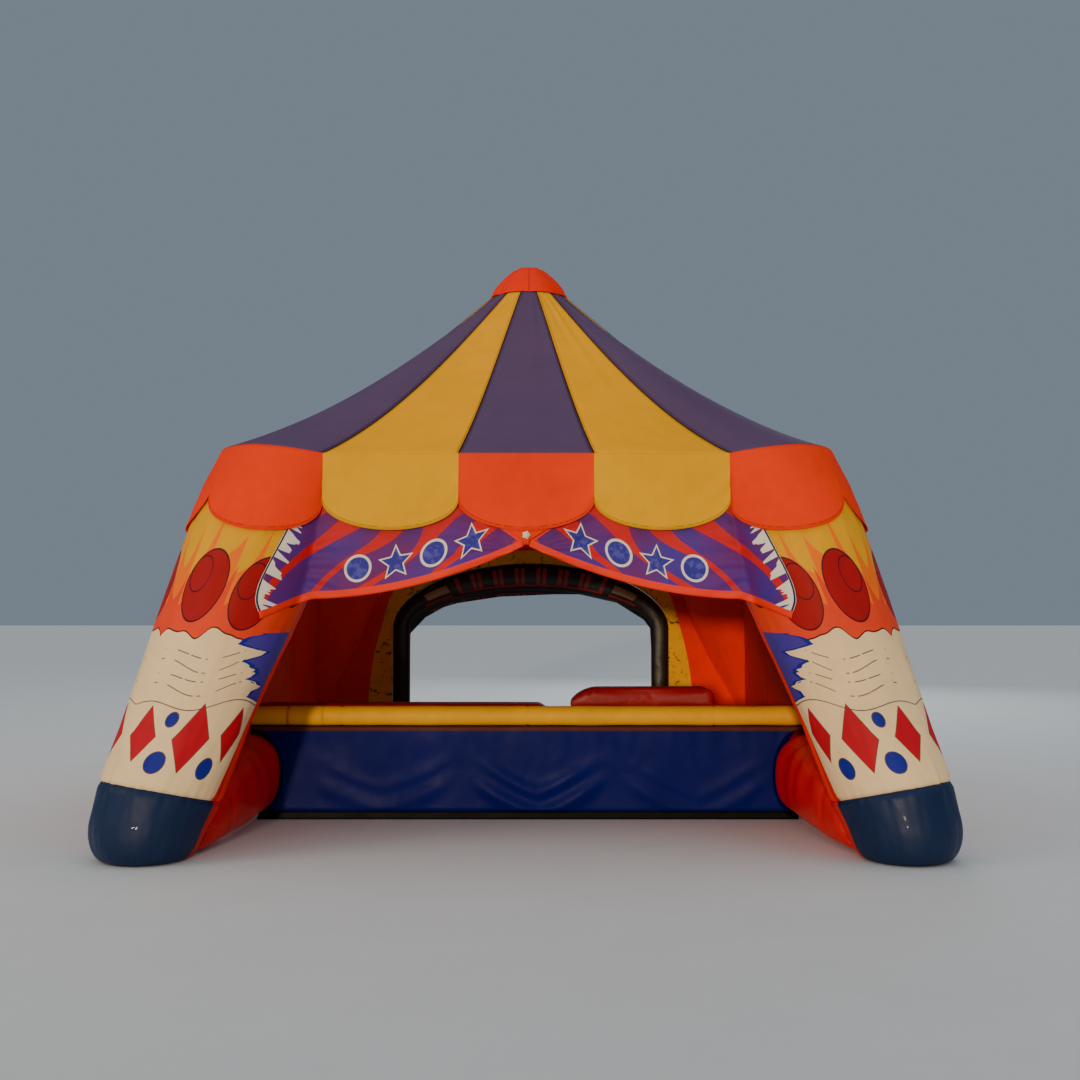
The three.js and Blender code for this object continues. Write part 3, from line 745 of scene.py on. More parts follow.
def wrap_apex(z, gap=WRAP_GAP):
    """Distance from the tent's axis to the outside of the cloth round a leg, along the diagonal."""
    return math.sqrt(2) * leg_centre(z) + leg_radius(z) + gap


def corner_point(s, apex):
    """Plan position on the arc round a corner, from the front side at 0 to the right side at 1."""
    end = (STRAIGHT_HALF + EAVE_HALF) / math.sqrt(2)
    half = (EAVE_HALF - STRAIGHT_HALF) / math.sqrt(2)
    rise = apex - end
    radius = (rise * rise + half * half) / (2 * rise)
    centre = apex - radius
    angle = lerp(1, -1, s) * math.atan2(half, end - centre)
    q = centre + radius * math.cos(angle)
    p = radius * math.sin(angle)
    return Vector(((q - p) / math.sqrt(2), -(q + p) / math.sqrt(2), 0))


def is_corner(k):
    """True for the one gore in four that lies over a leg."""
    return (k + 1) % 4 == 3


def eave_point(k, s):
    """Plan position of the eave at the foot of gore k, with s from seam to seam."""
    side = ((k + 1) % 16) // 4
    place = (k + 1) % 4
    if place < 3:
        p = Vector((-STRAIGHT_HALF + (place + s) * 2 * STRAIGHT_HALF / 3, -EAVE_HALF, 0))
    else:
        p = corner_point(s, wrap_apex(EAVE_Z + HIP_RISE))
    return Matrix.Rotation(side * math.pi / 2, 3, "Z") @ p


def roof_point(k, s, u):
    """A point of gore k, with s from seam to seam and u from the crown ring to the eave."""
    eave = eave_point(k, s)
    angle = (k + s - 0.5) / 16 * 2 * math.pi - math.pi / 2
    crown = Vector((CROWN_R * math.cos(angle), CROWN_R * math.sin(angle), 0))
    hollow = 0.13 * (1 - math.cos(2 * math.pi * (k + s - 0.5) / 4))
    fall = u + hollow * u * (1 - u) + 0.19 * u * u * (1 - u)
    low = EAVE_Z + (HIP_RISE * math.sin(math.pi * s) if is_corner(k) else 0)
    point = crown.lerp(eave, u)
    point.z = lerp(CROWN_Z, low, fall)
    return point


def roof_relief(k, s, u):
    """Soft folds near the crown, a dip between the seams and slight unevenness, in metres."""
    width = math.sin(math.pi * s)
    folds = math.sin(s * 4 * math.pi + k) * 0.6 + math.sin(s * 7 * math.pi + 2.3 * k) * 0.4
    folds *= 0.009 * width * (1 - u) ** 1.5 * smooth(u / 0.08)
    dip = -0.012 * width * math.sin(math.pi * min(1.0, u * 1.05))
    slack = 0.007 * noise.noise(Vector((k * 3.1 + s * 1.3, u * 3.0, 0.7))) * width
    return folds + dip + slack


def gore_width(u):
    """Width of the cut cloth of a gore, from the crown ring to the eave."""
    return lerp(0.12, 1.0, u)


def add_gore(k):
    def place(s, u):
        point = roof_point(k, s, u)
        point.z += roof_relief(k, s, u)
        return point

    def flat(s, u):
        return (s - 0.5) * gore_width(u), u * GORE_LENGTH

    def to_seam(x, y):
        return gore_width(y / GORE_LENGTH) / 2 - abs(x), y

    bm = sheet_mesh(20, 56, place, flat)
    add_rim_layer(bm, to_seam)
    face_away(bm, MIDDLE)
    material = roof_purple if k % 2 == 0 else roof_yellow
    label = f"{k + 1:02d}"
    piece = add_piece(bm, "gore_cloth_" + label, [material], ["roof_gore_" + label], 0.003)
    area = cloth_area(piece)
    return area


areas = [add_gore(k) for k in range(16)]
print("gore areas", [round(a, 2) for a in areas[:4]])


def add_roof_seams():
    joined = bmesh.new()
    steps = 40
    for k in range(16):
        line = [roof_point(k, 0, i / steps) + Vector((0, 0, 0.001)) for i in range(steps + 1)]
        join_into(joined, tube_along(6, line, 0.0048))
    add_piece(joined, "roof_seams", [seam_brown])


add_roof_seams()

# %% [markdown]
# ## The red cap
# A cap closes the hole where the gores meet. It is cut from eight small gores, so its outline is a
# little full between the seams, and its lower edge hangs in eight shallow points. A spin would give
# an even dome, so the turned profile is swelled between the seams instead.


# %% Crown cap
def add_cap():
    profile = [(0.0, 4.80), (0.05, 4.797), (0.10, 4.785), (0.15, 4.758), (0.205, 4.708)]
    profile += [(0.26, 4.653), (0.31, 4.595), (0.338, 4.545), (0.350, 4.516)]

    def place(s, u):
        r, z = on_profile(profile, u)
        angle = 2 * math.pi * s
        full = abs(math.sin(4 * angle))
        r *= 1 + 0.045 * full * math.sin(math.pi * min(u * 1.1, 1.0))
        drop = 0.022 * (1 - full) * smooth((u - 0.7) / 0.3)
        return Vector((r * math.cos(angle), r * math.sin(angle), z - drop * 0.4))

    bm = sheet_mesh(96, 35, place, lambda s, u: (s * 1.2, u * 0.6))
    bmesh.ops.remove_doubles(bm, verts=bm.verts, dist=0.0004)
    face_away(bm, Vector((0, 0, 4.4)))
    add_piece(bm, "cap_cloth", [cap_red], ["crown_cap"], 0.004)
    seams = bmesh.new()
    for k in range(8):
        angle = k * math.pi / 4
        line = []
        for i in range(25):
            r, z = on_profile(profile, i / 24 * 0.999)
            line.append(Vector((r * math.cos(angle), r * math.sin(angle), z + 0.001)))
        join_into(seams, tube_along(6, line, 0.004))
    add_piece(seams, "cap_seams", [lining_red])


add_cap()

# %% [markdown]
# ## The valance
# Scallops about a metre wide hang from the eave. Three hang straight from every side and two wrap
# the top of each leg. A scallop is stiff along its sewn top and free below, so it flares and ripples
# a little towards its rounded hem, which is bound with a narrow rolled edge. The scallops could be
# cut out of a strip, but that leaves ragged faces: here the lowest row of the grid follows the hem.

# %% Valance
DROP = 0.34
SCALLOP = 0.22
CORNER_SCALLOP = 0.28
WRAPPED_WIDTH = 1.45


def scallop_drop(s, depth=SCALLOP):
    """How far the cloth hangs at s, from 0 to 1 across one scallop."""
    return DROP + depth * math.sqrt(max(0.0, 1 - (2 * s - 1) ** 2))


def rounded(s):
    """Moves the grid's columns towards a scallop's ends, where its outline is steep."""
    return 0.5 - 0.5 * math.cos(math.pi * s)


def scallop_place(s, count):
    """Where s lies along a row of count scallops, in scallops, and where within its own one."""
    number = min(int(s * count + 1e-6), count - 1)
    local = rounded(s * count - number)
    return number + local, local


def ripple(x, t, seed):
    """Soft creases that grow towards the hem and lean, from the upper right to the lower left."""
    crease = noise.noise(Vector((x * 3.4 + t * 2.3, x * 0.7 - t * 1.0, seed)))
    sharp = noise.noise(Vector((x * 7.5 + t * 5.5, x * 0.9 - t * 1.2, seed + 4)))
    return (0.024 * crease + 0.007 * sharp) * t


def add_side_valance(side, turn):
    spin = Matrix.Rotation(turn, 3, "Z")
    width = 2 * STRAIGHT_HALF / 3

    def place(s, t):
        along, local = scallop_place(s, 3)
        x = -STRAIGHT_HALF + along * width
        z = EAVE_Z + 0.001 - t * (scallop_drop(local) + 0.001)
        flare = 0.028 * t * t + max(-0.004 * t, ripple(x, t, turn + 2.0))
        return spin @ Vector((x, -EAVE_HALF - 0.003 - flare, z))

    def flat(s, t):
        along, local = scallop_place(s, 3)
        return along * width, t * scallop_drop(local)

    def to_hem(x, down):
        return scallop_drop(x / width % 1.0) - down, down

    def redden_middle(bm):
        """Gives the middle scallop the second material."""
        for face in bm.faces:
            middle = spin.transposed() @ face.calc_center_median()
            face.material_index = 1 if abs(middle.x) < width / 2 else 0

    bm = sheet_mesh(96, 26, place, flat)
    add_rim_layer(bm, to_hem)
    redden_middle(bm)
    face_away(bm, MIDDLE)
    piece = add_piece(bm, "valance_cloth_" + side, [valance_yellow, valance_red],
                      ["valance_" + side], 0.003)
    hem = tube_along(6, [place(i / 180, 1.0) for i in range(181)], 0.0035)
    redden_middle(hem)
    add_piece(hem, "valance_hem_" + side, [hem_yellow, trim_red])


def add_corner_valance(corner):
    def place(s, t):
        number, local = scallop_place(s, 2)
        along = number / 2
        z = EAVE_Z + HIP_RISE * math.sin(math.pi * along) + 0.001
        z -= t * (scallop_drop(local, CORNER_SCALLOP) + 0.001)
        swell = 0.5 + 0.5 * math.sin(math.pi * along)
        lift = 0.012 * noise.noise(Vector((along * 6, t * 3, 3.3))) * t
        p = corner_point(along, wrap_apex(z, 0.022) + lift * swell)
        return mirrored((p.x, p.y, z), corner)

    def flat(s, t):
        number, local = scallop_place(s, 2)
        return number / 2 * WRAPPED_WIDTH, t * scallop_drop(local, CORNER_SCALLOP)

    def to_hem(x, down):
        return scallop_drop(2 * x / WRAPPED_WIDTH % 1.0, CORNER_SCALLOP) - down, down

    bm = sheet_mesh(80, 26, place, flat)
    add_rim_layer(bm, to_hem)
    face_away(bm, MIDDLE)
    piece = add_piece(bm, "valance_cloth_" + corner, [valance_red],
                      ["valance_" + corner], 0.003)
    hem = tube_along(6, [place(i / 90, 1.0) for i in range(91)], 0.0035)
    add_piece(hem, "valance_hem_" + corner, [trim_red])


SIDES = {"front": 0.0, "right": math.pi / 2, "rear": math.pi, "left": -math.pi / 2}
for side, turn in SIDES.items():
    add_side_valance(side, turn)
for corner in CORNERS:
    add_corner_valance(corner)

# %% [markdown]
# ## The front banner
# Two lengths of satin hang behind the front valance and are gathered in the middle, so each lower
# edge sweeps down and out like a tied curtain. At its outer end the cloth leaves the straight eave
# and wraps onto the leg. Folds fan out from the knot and from the leg, deepest near those two points.
# The print is violet with hot red swirls along the top and a vermilion border along the lower edge.
# A row of plain stars and discs, outlined in cream, fills the middle. The folds are waves that fan
# out from a point, because a simulated curtain would not end where the real one lies on the leg.

# %% Banner
BANNER_TOP = 2.84
BANNER_PLANE = 2.3235
BANNER_INNER = 0.02


def banner_edge(x):
    """Height of the lower edge at x from the middle."""
    sweep = 2.19 - 0.39 * (1 - (1 - min(x, 1.56) / 1.56) ** 1.9)
    return sweep - 0.15 * smooth((x - 1.52) / 0.42)


def leg_front(x, z):
    """How far forward of the tent's axis the leg's surface lies at x and z, or 0 beside the leg."""
    half = half_chord(x, z)
    return leg_centre(z) + half if half else 0.0


def banner_folds(x, z):
    """Folds that fan out from the knot and from the leg, as a forward shift in metres."""
    knot = Vector((x, z - 2.16))
    fan = math.atan2(knot.y, knot.x)
    near = math.exp(-knot.length / 0.55)
    first = math.cos(26 * fan + 3 * noise.noise(Vector((x * 2, z * 2, 1)))) * near * 0.014
    pull = Vector((1.9 - x, z - 2.05))
    spread = math.atan2(pull.y, pull.x)
    close = math.exp(-pull.length / 0.6)
    second = math.cos(22 * spread + 2 * noise.noise(Vector((x * 3, z * 2, 5)))) * close * 0.014
    slack = 0.012 * noise.noise(Vector((x * 1.7 + z * 1.3, z * 2.1 - x * 0.8, 9)))
    fine = 0.004 * noise.noise(Vector((x * 7 - z * 6, z * 5 + x * 2, 4)))
    return first + second + slack + fine


def banner_print():
    """Printed satin polyester: deep violet with a soft shine on its folds, crisp printed figures."""
    material, tree, shader = new_material("printed satin polyester", 0.45, ior=1.48, specular=0.2)
    x, up = flat_place(tree)
    end, height = flat_place(tree, "rim")
    colour = mix(tree, blot(tree, 2.2, 0.0, 1.0), linear(0x4A2E96), linear(0x781C60))

    # Hot red swirls: bands of a strongly distorted wave, only near the top.
    at = add(tree, "CombineXYZ", {0: x, 1: height})
    curl = {"Vector": at, "Scale": 1.6, "Distortion": 7.0, "Detail": 1.0, "Detail Scale": 0.6}
    swirl = add(tree, "TexWave", curl, out="Fac", bands_direction="DIAGONAL")
    level = add(tree, "MapRange", {0: height, 1: 2.12, 2: 2.5, 3: 0.10, 4: 0.98})
    trough = add(tree, "Math", {0: 1.0, 1: swirl}, operation="SUBTRACT")
    colour = mix(tree, inside(tree, trough, level, 0.03), colour, linear(0xD81C20))
    streak = both(tree, ring_line(tree, swirl, 0.35, 0.05), inside(tree, 2.2, height))
    colour = mix(tree, streak, colour, linear(0x9C1844))

    # A row of four, stars and discs in turn, blue violet with a cream outline.
    start, pitch, size, row = 0.26, 0.275, 0.112, 0.20
    run = add(tree, "Math", {0: x, 1: start}, operation="SUBTRACT")
    cell = add(tree, "Math", {0: run, 1: pitch}, operation="DIVIDE")
    number = add(tree, "Math", {0: cell}, operation="FLOOR")
    local = add(tree, "Math", {0: cell}, operation="FRACT")
    local = add(tree, "Math", {0: local, 1: 0.5}, operation="SUBTRACT")
    local = add(tree, "Math", {0: local, 1: pitch}, operation="MULTIPLY")
    lift = add(tree, "Math", {0: up, 1: row}, operation="SUBTRACT")
    star = star_reach(tree, local, lift)
    disc = disc_reach(tree, local, lift, (0, 0))
    disc = add(tree, "Math", {0: disc, 1: 1.35}, operation="MULTIPLY")
    odd = add(tree, "Math", {0: number, 1: 2.0}, operation="MODULO")
    odd = add(tree, "Math", {0: odd}, operation="ABSOLUTE")
    shape = add(tree, "Mix", {0: odd, 2: star, 3: disc}, data_type="FLOAT")
    in_row = both(tree, inside(tree, start, x), inside(tree, x, start + 4 * pitch))
    outline = both(tree, inside(tree, shape, size * 1.22), in_row)
    body = both(tree, inside(tree, shape, size), in_row)
    colour = mix(tree, outline, colour, linear(0xF3E6D2))
    worn = add(tree, "MapRange", {0: blot(tree, 26.0, 0.0, 1.0), 1: 0.45, 2: 0.8, 3: 0.0, 4: 0.5})
    colour = mix(tree, body, colour, mix(tree, worn, linear(0x332C96), linear(0x6A66C0)))

    # A brushed cream edge with an ink line at the outer end, and the vermilion border below.
    slant = add(tree, "Math", {0: end, 1: 0.5, 2: height}, operation="MULTIPLY_ADD")
    brush = add(tree, "TexNoise", {"W": slant, "Scale": 17.0, "Detail": 1.5}, noise_dimensions="1D")
    comb = add(tree, "MapRange", {0: brush, 1: 0.35, 2: 0.66, 3: 0.02, 4: 0.15})
    colour = mix(tree, inside(tree, end, comb), colour, linear(0xF6EBDA))
    colour = mix(tree, ring_line(tree, end, 0.010, 0.018), colour, linear(0x1C1440))
    colour = mix(tree, inside(tree, up, 0.058), colour, linear(0xFF3410))
    gather = add(tree, "Math", {0: height, 1: 2.21}, operation="SUBTRACT")
    gather = add(tree, "Math", {0: gather, 1: 0.0}, operation="MAXIMUM")
    gather = add(tree, "Math", {0: gather, 1: 1.45, 2: 0.045}, operation="MULTIPLY_ADD")
    colour = mix(tree, inside(tree, x, gather), colour, linear(0xFF3410))
    finish(tree, shader, colour, 0.08, cloth_bump(tree, 0.0004, 0.006))
    return material


banner_cloth = banner_print()


def banner_end(t):
    """x of the banner's outer end, under the valance at t = 0 and at its lower corner at t = 1."""
    out = math.sin(math.pi / 2 * min(t / 0.88, 1.0) ** 2.4)
    return 1.60 + 0.30 * out - 0.03 * smooth((t - 0.88) / 0.12)


def add_banner(name, side):
    def where(s, t):
        x = BANNER_INNER + s * (banner_end(t) - BANNER_INNER)
        return x, lerp(BANNER_TOP, banner_edge(x), t)

    def place(s, t):
        x, z = where(s, t)
        on_leg = leg_front(x, z) + 0.014 + leg_relief(math.radians(270), z) * 0.2
        loose = banner_folds(x, z) * smooth(0.2 + t) * (0.3 + 0.7 * smooth(x / 0.2))
        share = smooth((on_leg - BANNER_PLANE + 0.05) / 0.1)
        y = lerp(BANNER_PLANE - 0.006 + loose, on_leg + max(loose, 0) * 0.4, share)
        least = on_leg if on_leg > BANNER_PLANE - 0.05 else 0.0
        return Vector((side * x, -max(y, least), z))

    def flat(s, t):
        x, z = where(s, t)
        return x, z - banner_edge(x)

    def to_end(x, up):
        """How far x is from the outer end of the cloth, and the height above the ground."""
        z = up + banner_edge(x)
        t = max(0.0, (BANNER_TOP - z) / (BANNER_TOP - banner_edge(x)))
        return banner_end(t) - x, z

    bm = sheet_mesh(110, 60, place, flat)
    add_rim_layer(bm, to_end)
    face_away(bm, MIDDLE)
    piece = add_piece(bm, "banner_cloth_" + name, [banner_cloth], ["banner_" + name], 0.002)


add_banner("right", 1)
add_banner("left", -1)

# %% [markdown]
# ## The knot
# The two halves meet in a short V of vermilion satin, gathered from behind the middle scallop down to
# the point where the borders cross. A little five-petalled rosette is sewn over the gathers.


# %% Knot and rosette
def add_knot():
    top, foot = 2.50, 2.192

    def half_width(z):
        return 0.022 + 1.45 * max(0.0, z - 2.225) ** 0.95

    def place(s, t):
        z = lerp(top, foot, t)
        x = (2 * s - 1) * half_width(z)
        pleat = 0.004 * math.cos(9 * math.pi * (2 * s - 1)) * (1 - 0.4 * t)
        full = 0.006 * (1 - (2 * s - 1) ** 2)
        ahead = 0.004 + 0.022 * smooth((2.40 - z) / 0.15)
        return Vector((x, -(BANNER_PLANE + ahead + pleat + full), z))

    bm = sheet_mesh(60, 24, place, lambda s, t: ((s - 0.5) * 0.4, t * 0.4))
    face_away(bm, MIDDLE)
    piece = add_piece(bm, "knot_cloth", [trim_red], ["banner_knot"], 0.003)
    rosette = bmesh.new()
    bmesh.ops.create_circle(rosette, cap_ends=True, radius=0.030, segments=40)
    for vert in rosette.verts:
        turn = math.atan2(vert.co.y, vert.co.x)
        vert.co *= 0.72 + 0.28 * abs(math.cos(2.5 * turn))
    bmesh.ops.inset_region(rosette, faces=rosette.faces[:], thickness=0.004, depth=0.004)
    bmesh.ops.rotate(rosette, verts=rosette.verts, matrix=Matrix.Rotation(math.pi / 2, 3, "X"))
    bmesh.ops.translate(rosette, verts=rosette.verts, vec=(0, -(BANNER_PLANE + 0.046), 2.262))
    add_piece(rosette, "knot_rosette", [rosette_cream], thickness=0.004)


add_knot()

# %% [markdown]
# ## Side walls
# A wall is one length of cloth laced between two legs, down to the bolster. It is held only along its
# edges, so shallow folds run from its upper corners towards the middle of its foot. The wall's ends
# are found where its own line meets the round leg, and that exact fit is why it isn't simulated.


# %% Side walls
WALL_FOOT_X = 2.30
WALL_LEAN = 0.2491
WALL_TOP = 2.58
WALL_CLEAR = 0.016
BOLSTER_HALF_H = 0.38


def wall_x(z):
    """How far from the tent's axis a side wall stands at height z: it leans in towards the top."""
    return WALL_FOOT_X - WALL_LEAN * (z / 2.70) ** 2


def wall_reach(z, x):
    """How far along y a wall at x runs before it meets the legs at its two ends."""
    return leg_centre(z) - half_chord(x, z)


def hanging_folds(across, down, seed):
    """Shallow folds that run from both upper corners of a wall; across and down from 0 to 1."""
    left = math.atan2(down, across + 0.02)
    right = math.atan2(down, 1.02 - across)
    near_left = math.exp(-math.hypot(across, down) / 0.5)
    near_right = math.exp(-math.hypot(1 - across, down) / 0.5)
    fan = math.cos(16 * left + seed) * near_left + math.cos(15 * right + 2 * seed) * near_right
    slack = noise.noise(Vector((across * 4 + seed, down * 3, seed)))
    return 0.014 * fan * math.sin(math.pi * min(1, down + 0.1)) + 0.022 * slack


def bolster_section(y):
    """The bolster's section at y: where its middle is, and half its width and height."""
    swell = (1 - min(abs(y) / 2.64, 1.0) ** 2.5) ** 0.6
    return lerp(2.44, 2.23, swell), lerp(0.11, 0.24, swell), lerp(0.17, BOLSTER_HALF_H, swell)


def bolster_top(y, x):
    """Height of the bolster's skin at x and y."""
    centre, wide, high = bolster_section(y)
    return high * (1 + math.sqrt(max(0.0, 1 - ((x - centre) / wide) ** 2)))


def bolster_side(y, z):
    """x of the bolster's inner skin at y and z, or a large number above the bolster."""
    centre, wide, high = bolster_section(y)
    lift = 1 - ((z - high) / high) ** 2
    return centre - wide * math.sqrt(lift) if lift > 0 else 9.0


def sewn_wall_cloth():
    """Coated polyester in panels 1.3 m wide: the lapped seams catch the light as thin raised lines."""
    material, tree, shader = new_material("coated polyester crimson", 0.66, ior=1.46, specular=0.1)
    across, down = flat_place(tree)
    panel = add(tree, "Math", {0: across, 1: 0.65}, operation="PINGPONG")
    lap = inside(tree, panel, 0.011, 0.003)
    hem = inside(tree, down, 0.05, 0.003)
    stitch = both(tree, ring_line(tree, down, 0.046, 0.004), inside(tree, 0.35, panel))
    colour = mix(tree, lap, linear(0xFF2C06), linear(0xD01C06))
    colour = mix(tree, hem, colour, linear(0xE42408))
    colour = mix(tree, stitch, colour, linear(0xF08060))
    raised = add(tree, "Math", {0: lap, 1: hem}, operation="MAXIMUM")
    weave = cloth_bump(tree, wrinkle=0.006)
    finish(tree, shader, colour, GRIME,
           add(tree, "Bump", {"Height": raised, "Distance": 0.004, "Normal": weave}))
    return material


wall_red = sewn_wall_cloth()


def add_side_wall(name, side):
    def place(s, t):
        run = lerp(-1, 1, s)
        foot = bolster_top(run * wall_reach(0.6, wall_x(0.6)), wall_x(0.7)) - 0.045
        z = lerp(WALL_TOP, foot, t)
        x = wall_x(z)
        y = run * (wall_reach(z, x) + 0.006)
        beside = math.exp(-((y + 0.95) / 0.4) ** 2) * smooth((1.4 - z) / 0.35)
        inward = hanging_folds(s, t, 1.3 + side) * math.sin(math.pi * s) ** 0.5 if 0 < s < 1 else 0.0
        return Vector((side * (x - 0.006 - inward * (1 - beside)), y, z))

    bm = sheet_mesh(110, 56, place, lambda s, t: (s * 3.9, t * 1.9))
    face_away(bm, MIDDLE)
    piece = add_piece(bm, "wall_cloth_" + name, [wall_red], ["side_wall_" + name], 0.003)


add_side_wall("right", 1)
add_side_wall("left", -1)

# %% [markdown]
# ## Padded pieces
# Bolsters, counter pad and cushion are air-filled or stuffed. Blowing one up in the computer gives the
# right shape almost for nothing: the plain solid is remade of small even squares and shrunk a little,
# then Blender's cloth solver presses it out from inside for twenty frames. How far a point may move is
# capped, so that a pad stays inside the space that the frame keeps for it.


# %% Blowing up a pad
def relax(bm):
    """Moves every point halfway to the middle of its neighbours."""
    bmesh.ops.smooth_vert(bm, verts=bm.verts, factor=0.5,
                          use_axis_x=True, use_axis_y=True, use_axis_z=True)


def blown_up(node, voxel, most):
    """A bmesh of the frame's solid after it was remeshed, shrunk by 12 mm and blown up again."""
    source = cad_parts[node].data.copy()
    bm = bmesh.new()
    bm.from_mesh(source)
    bmesh.ops.remove_doubles(bm, verts=bm.verts, dist=0.0001)
    bmesh.ops.recalc_face_normals(bm, faces=bm.faces)
    bm.to_mesh(source)
    bm.free()
    body = bpy.data.objects.new("body " + node, source)
    bpy.context.scene.collection.objects.link(body)
    remesh = body.modifiers.new("even squares", "REMESH")
    remesh.mode = "VOXEL"
    remesh.voxel_size = voxel
    bpy.context.view_layer.update()
    graph = bpy.context.evaluated_depsgraph_get()
    even = bpy.data.meshes.new_from_object(body.evaluated_get(graph))
    body.modifiers.clear()
    body.data = even
    bm = bmesh.new()
    bm.from_mesh(even)
    for _ in range(3):
        relax(bm)
    bm.normal_update()
    for vert in bm.verts:
        vert.co -= vert.normal * 0.012
        vert.co.z = max(vert.co.z, 0.003)
    bm.to_mesh(even)
    start = [vert.co.copy() for vert in bm.verts]
    cloth = body.modifiers.new("air", "CLOTH")
    cloth.settings.use_pressure = True
    cloth.settings.uniform_pressure_force = 4.0
    cloth.settings.quality = 4
    cloth.settings.effector_weights.gravity = 0
    cloth.collision_settings.use_self_collision = False
    for number in range(1, 21):
        bpy.context.scene.frame_set(number)
    graph = bpy.context.evaluated_depsgraph_get()
    blown = body.evaluated_get(graph).to_mesh()
    for vert, now, before in zip(bm.verts, blown.vertices, start):
        move = now.co - before
        vert.co = before + move.normalized() * min(move.length, most)
        vert.co.z = max(vert.co.z, 0.002)
    body.evaluated_get(graph).to_mesh_clear()
    bpy.context.scene.frame_set(1)
    bpy.data.objects.remove(body)
    bpy.data.meshes.remove(even)
    return bm


def add_pad(node, name, material, voxel, most, relief=None):
    """A padded piece blown up from its node, with squares of size voxel and moves up to most."""
    bm = blown_up(node, voxel, most)
    relax(bm)
    bm.normal_update()
    if relief:
        moves = [(vert, vert.normal * relief(vert.co)) for vert in bm.verts]
        for vert, move in moves:
            vert.co += move
    piece = add_piece(bm, name, [material], [node])
    rounder = piece.modifiers.new("rounder", "SUBSURF")
    rounder.levels = 1
    rounder.render_levels = 1


# %% [markdown]
# ## Bolsters along the ground
# A tarpaulin tube holds each wall down. Its cloth is pulled in at a seam every metre or so and lies
# in upright folds between them, that fade out towards the ground.


# %% Bolsters
def bolster_relief(at):
    """Seams pulled in every 1.1 m along the tube, upright folds and a slack surface."""
    seam = -0.014 * math.exp(-(((at.y / 1.1 + 0.5) % 1.0 - 0.5) / 0.018) ** 2)
    fold = 0.006 * math.cos(at.y * 21 + 3 * noise.noise(Vector((at.y * 2, at.z * 3, 2))))
    slack = 0.012 * noise.noise(at * 3.1)
    return seam + fold * smooth(at.z / 0.5) + slack


for name in ("right", "left"):
    add_pad("bolster_" + name, "bolster_cover_" + name, bolster_red, 0.034, 0.02,
            bolster_relief)

# %% [markdown]
# ## The way out at the rear
# A black printed band frames the arch. It is an inflated rib, flat at the back and rounded in front.
# Its print is dark red bars and beige plaques, with no letters. The wall round it is the red of the
# side walls, with a yellow strip that follows the band, brushed over in a dark green. A curve with a
# bevel would do for the band, but a grid gives its print flat coordinates to lie on.

# %% Rear band and wall
REAR_Y = 2.15
REAR_CLOTH_Y = 2.18
REAR_CLOTH_TOP = 2.565
REAR_GIRTH = 6.0
POST_SHARE = 0.27
SIDE_SHARE = 0.36
ARCH_HALF = 1.29
ARCH_SPRING = 1.45
ARCH_RISE = 0.41
BAND_SIDE = 0.19
BAND_TOP = 0.30
BAND_DEPTH = 0.06


def arch_point(t, grow_side, grow_top):
    """A point of the arch from its left foot at 0 over the crown to its right foot at 1."""
    half = ARCH_HALF + grow_side
    rise = ARCH_RISE + grow_top
    if t < POST_SHARE:
        return Vector((-half, 0, ARCH_SPRING * t / POST_SHARE))
    if t > 1 - POST_SHARE:
        return Vector((half, 0, ARCH_SPRING * (1 - t) / POST_SHARE))
    a = math.pi * (1 - (t - POST_SHARE) / (1 - 2 * POST_SHARE))
    return Vector((half * math.cos(a), 0, ARCH_SPRING + rise * math.sin(a)))


def rear_band_print():
    """Printed PVC tarpaulin, near black: keeps a thin sheen that shows its rounded front."""
    material, tree, shader = new_material("printed PVC tarpaulin black", 0.45, coat=0.1)
    x, up = flat_place(tree)
    colour = linear(0x14100F)
    # Pairs of upright bars in dark red, 0.23 m apart, over the middle of the band.
    cell = add(tree, "Math", {0: x, 1: 0.23}, operation="DIVIDE")
    cell = add(tree, "Math", {0: cell}, operation="FRACT")
    off_gap = add(tree, "Math", {0: 1.0, 1: ring_line(tree, cell, 0.5, 0.12)}, operation="SUBTRACT")
    bar = both(tree, ring_line(tree, cell, 0.5, 0.46), off_gap)
    bar = both(tree, bar, ring_line(tree, up, 0.15, 0.19))
    off_middle = off_line(tree, x, 0.0)
    middle = inside(tree, off_middle, 0.80)
    colour = mix(tree, both(tree, bar, middle), colour, linear(0xB01614))
    foot = both(tree, ring_line(tree, up, 0.06, 0.022), middle)
    colour = mix(tree, foot, colour, linear(0xB01614))
    # Beige plaques on both sides, each with a dark red line below.
    aside = add(tree, "Math", {0: off_middle, 1: 1.0}, operation="SUBTRACT")
    plaque = both(tree, ring_line(tree, aside, 0.0, 0.24), ring_line(tree, up, 0.15, 0.10))
    colour = mix(tree, plaque, colour, linear(0xB09A6C))
    under = both(tree, ring_line(tree, aside, 0.02, 0.30), ring_line(tree, up, 0.055, 0.028))
    colour = mix(tree, under, colour, linear(0xB01614))
    finish(tree, shader, colour, 0.15, dents(tree, 8.0, depth=0.008, strength=1.0))
    return material


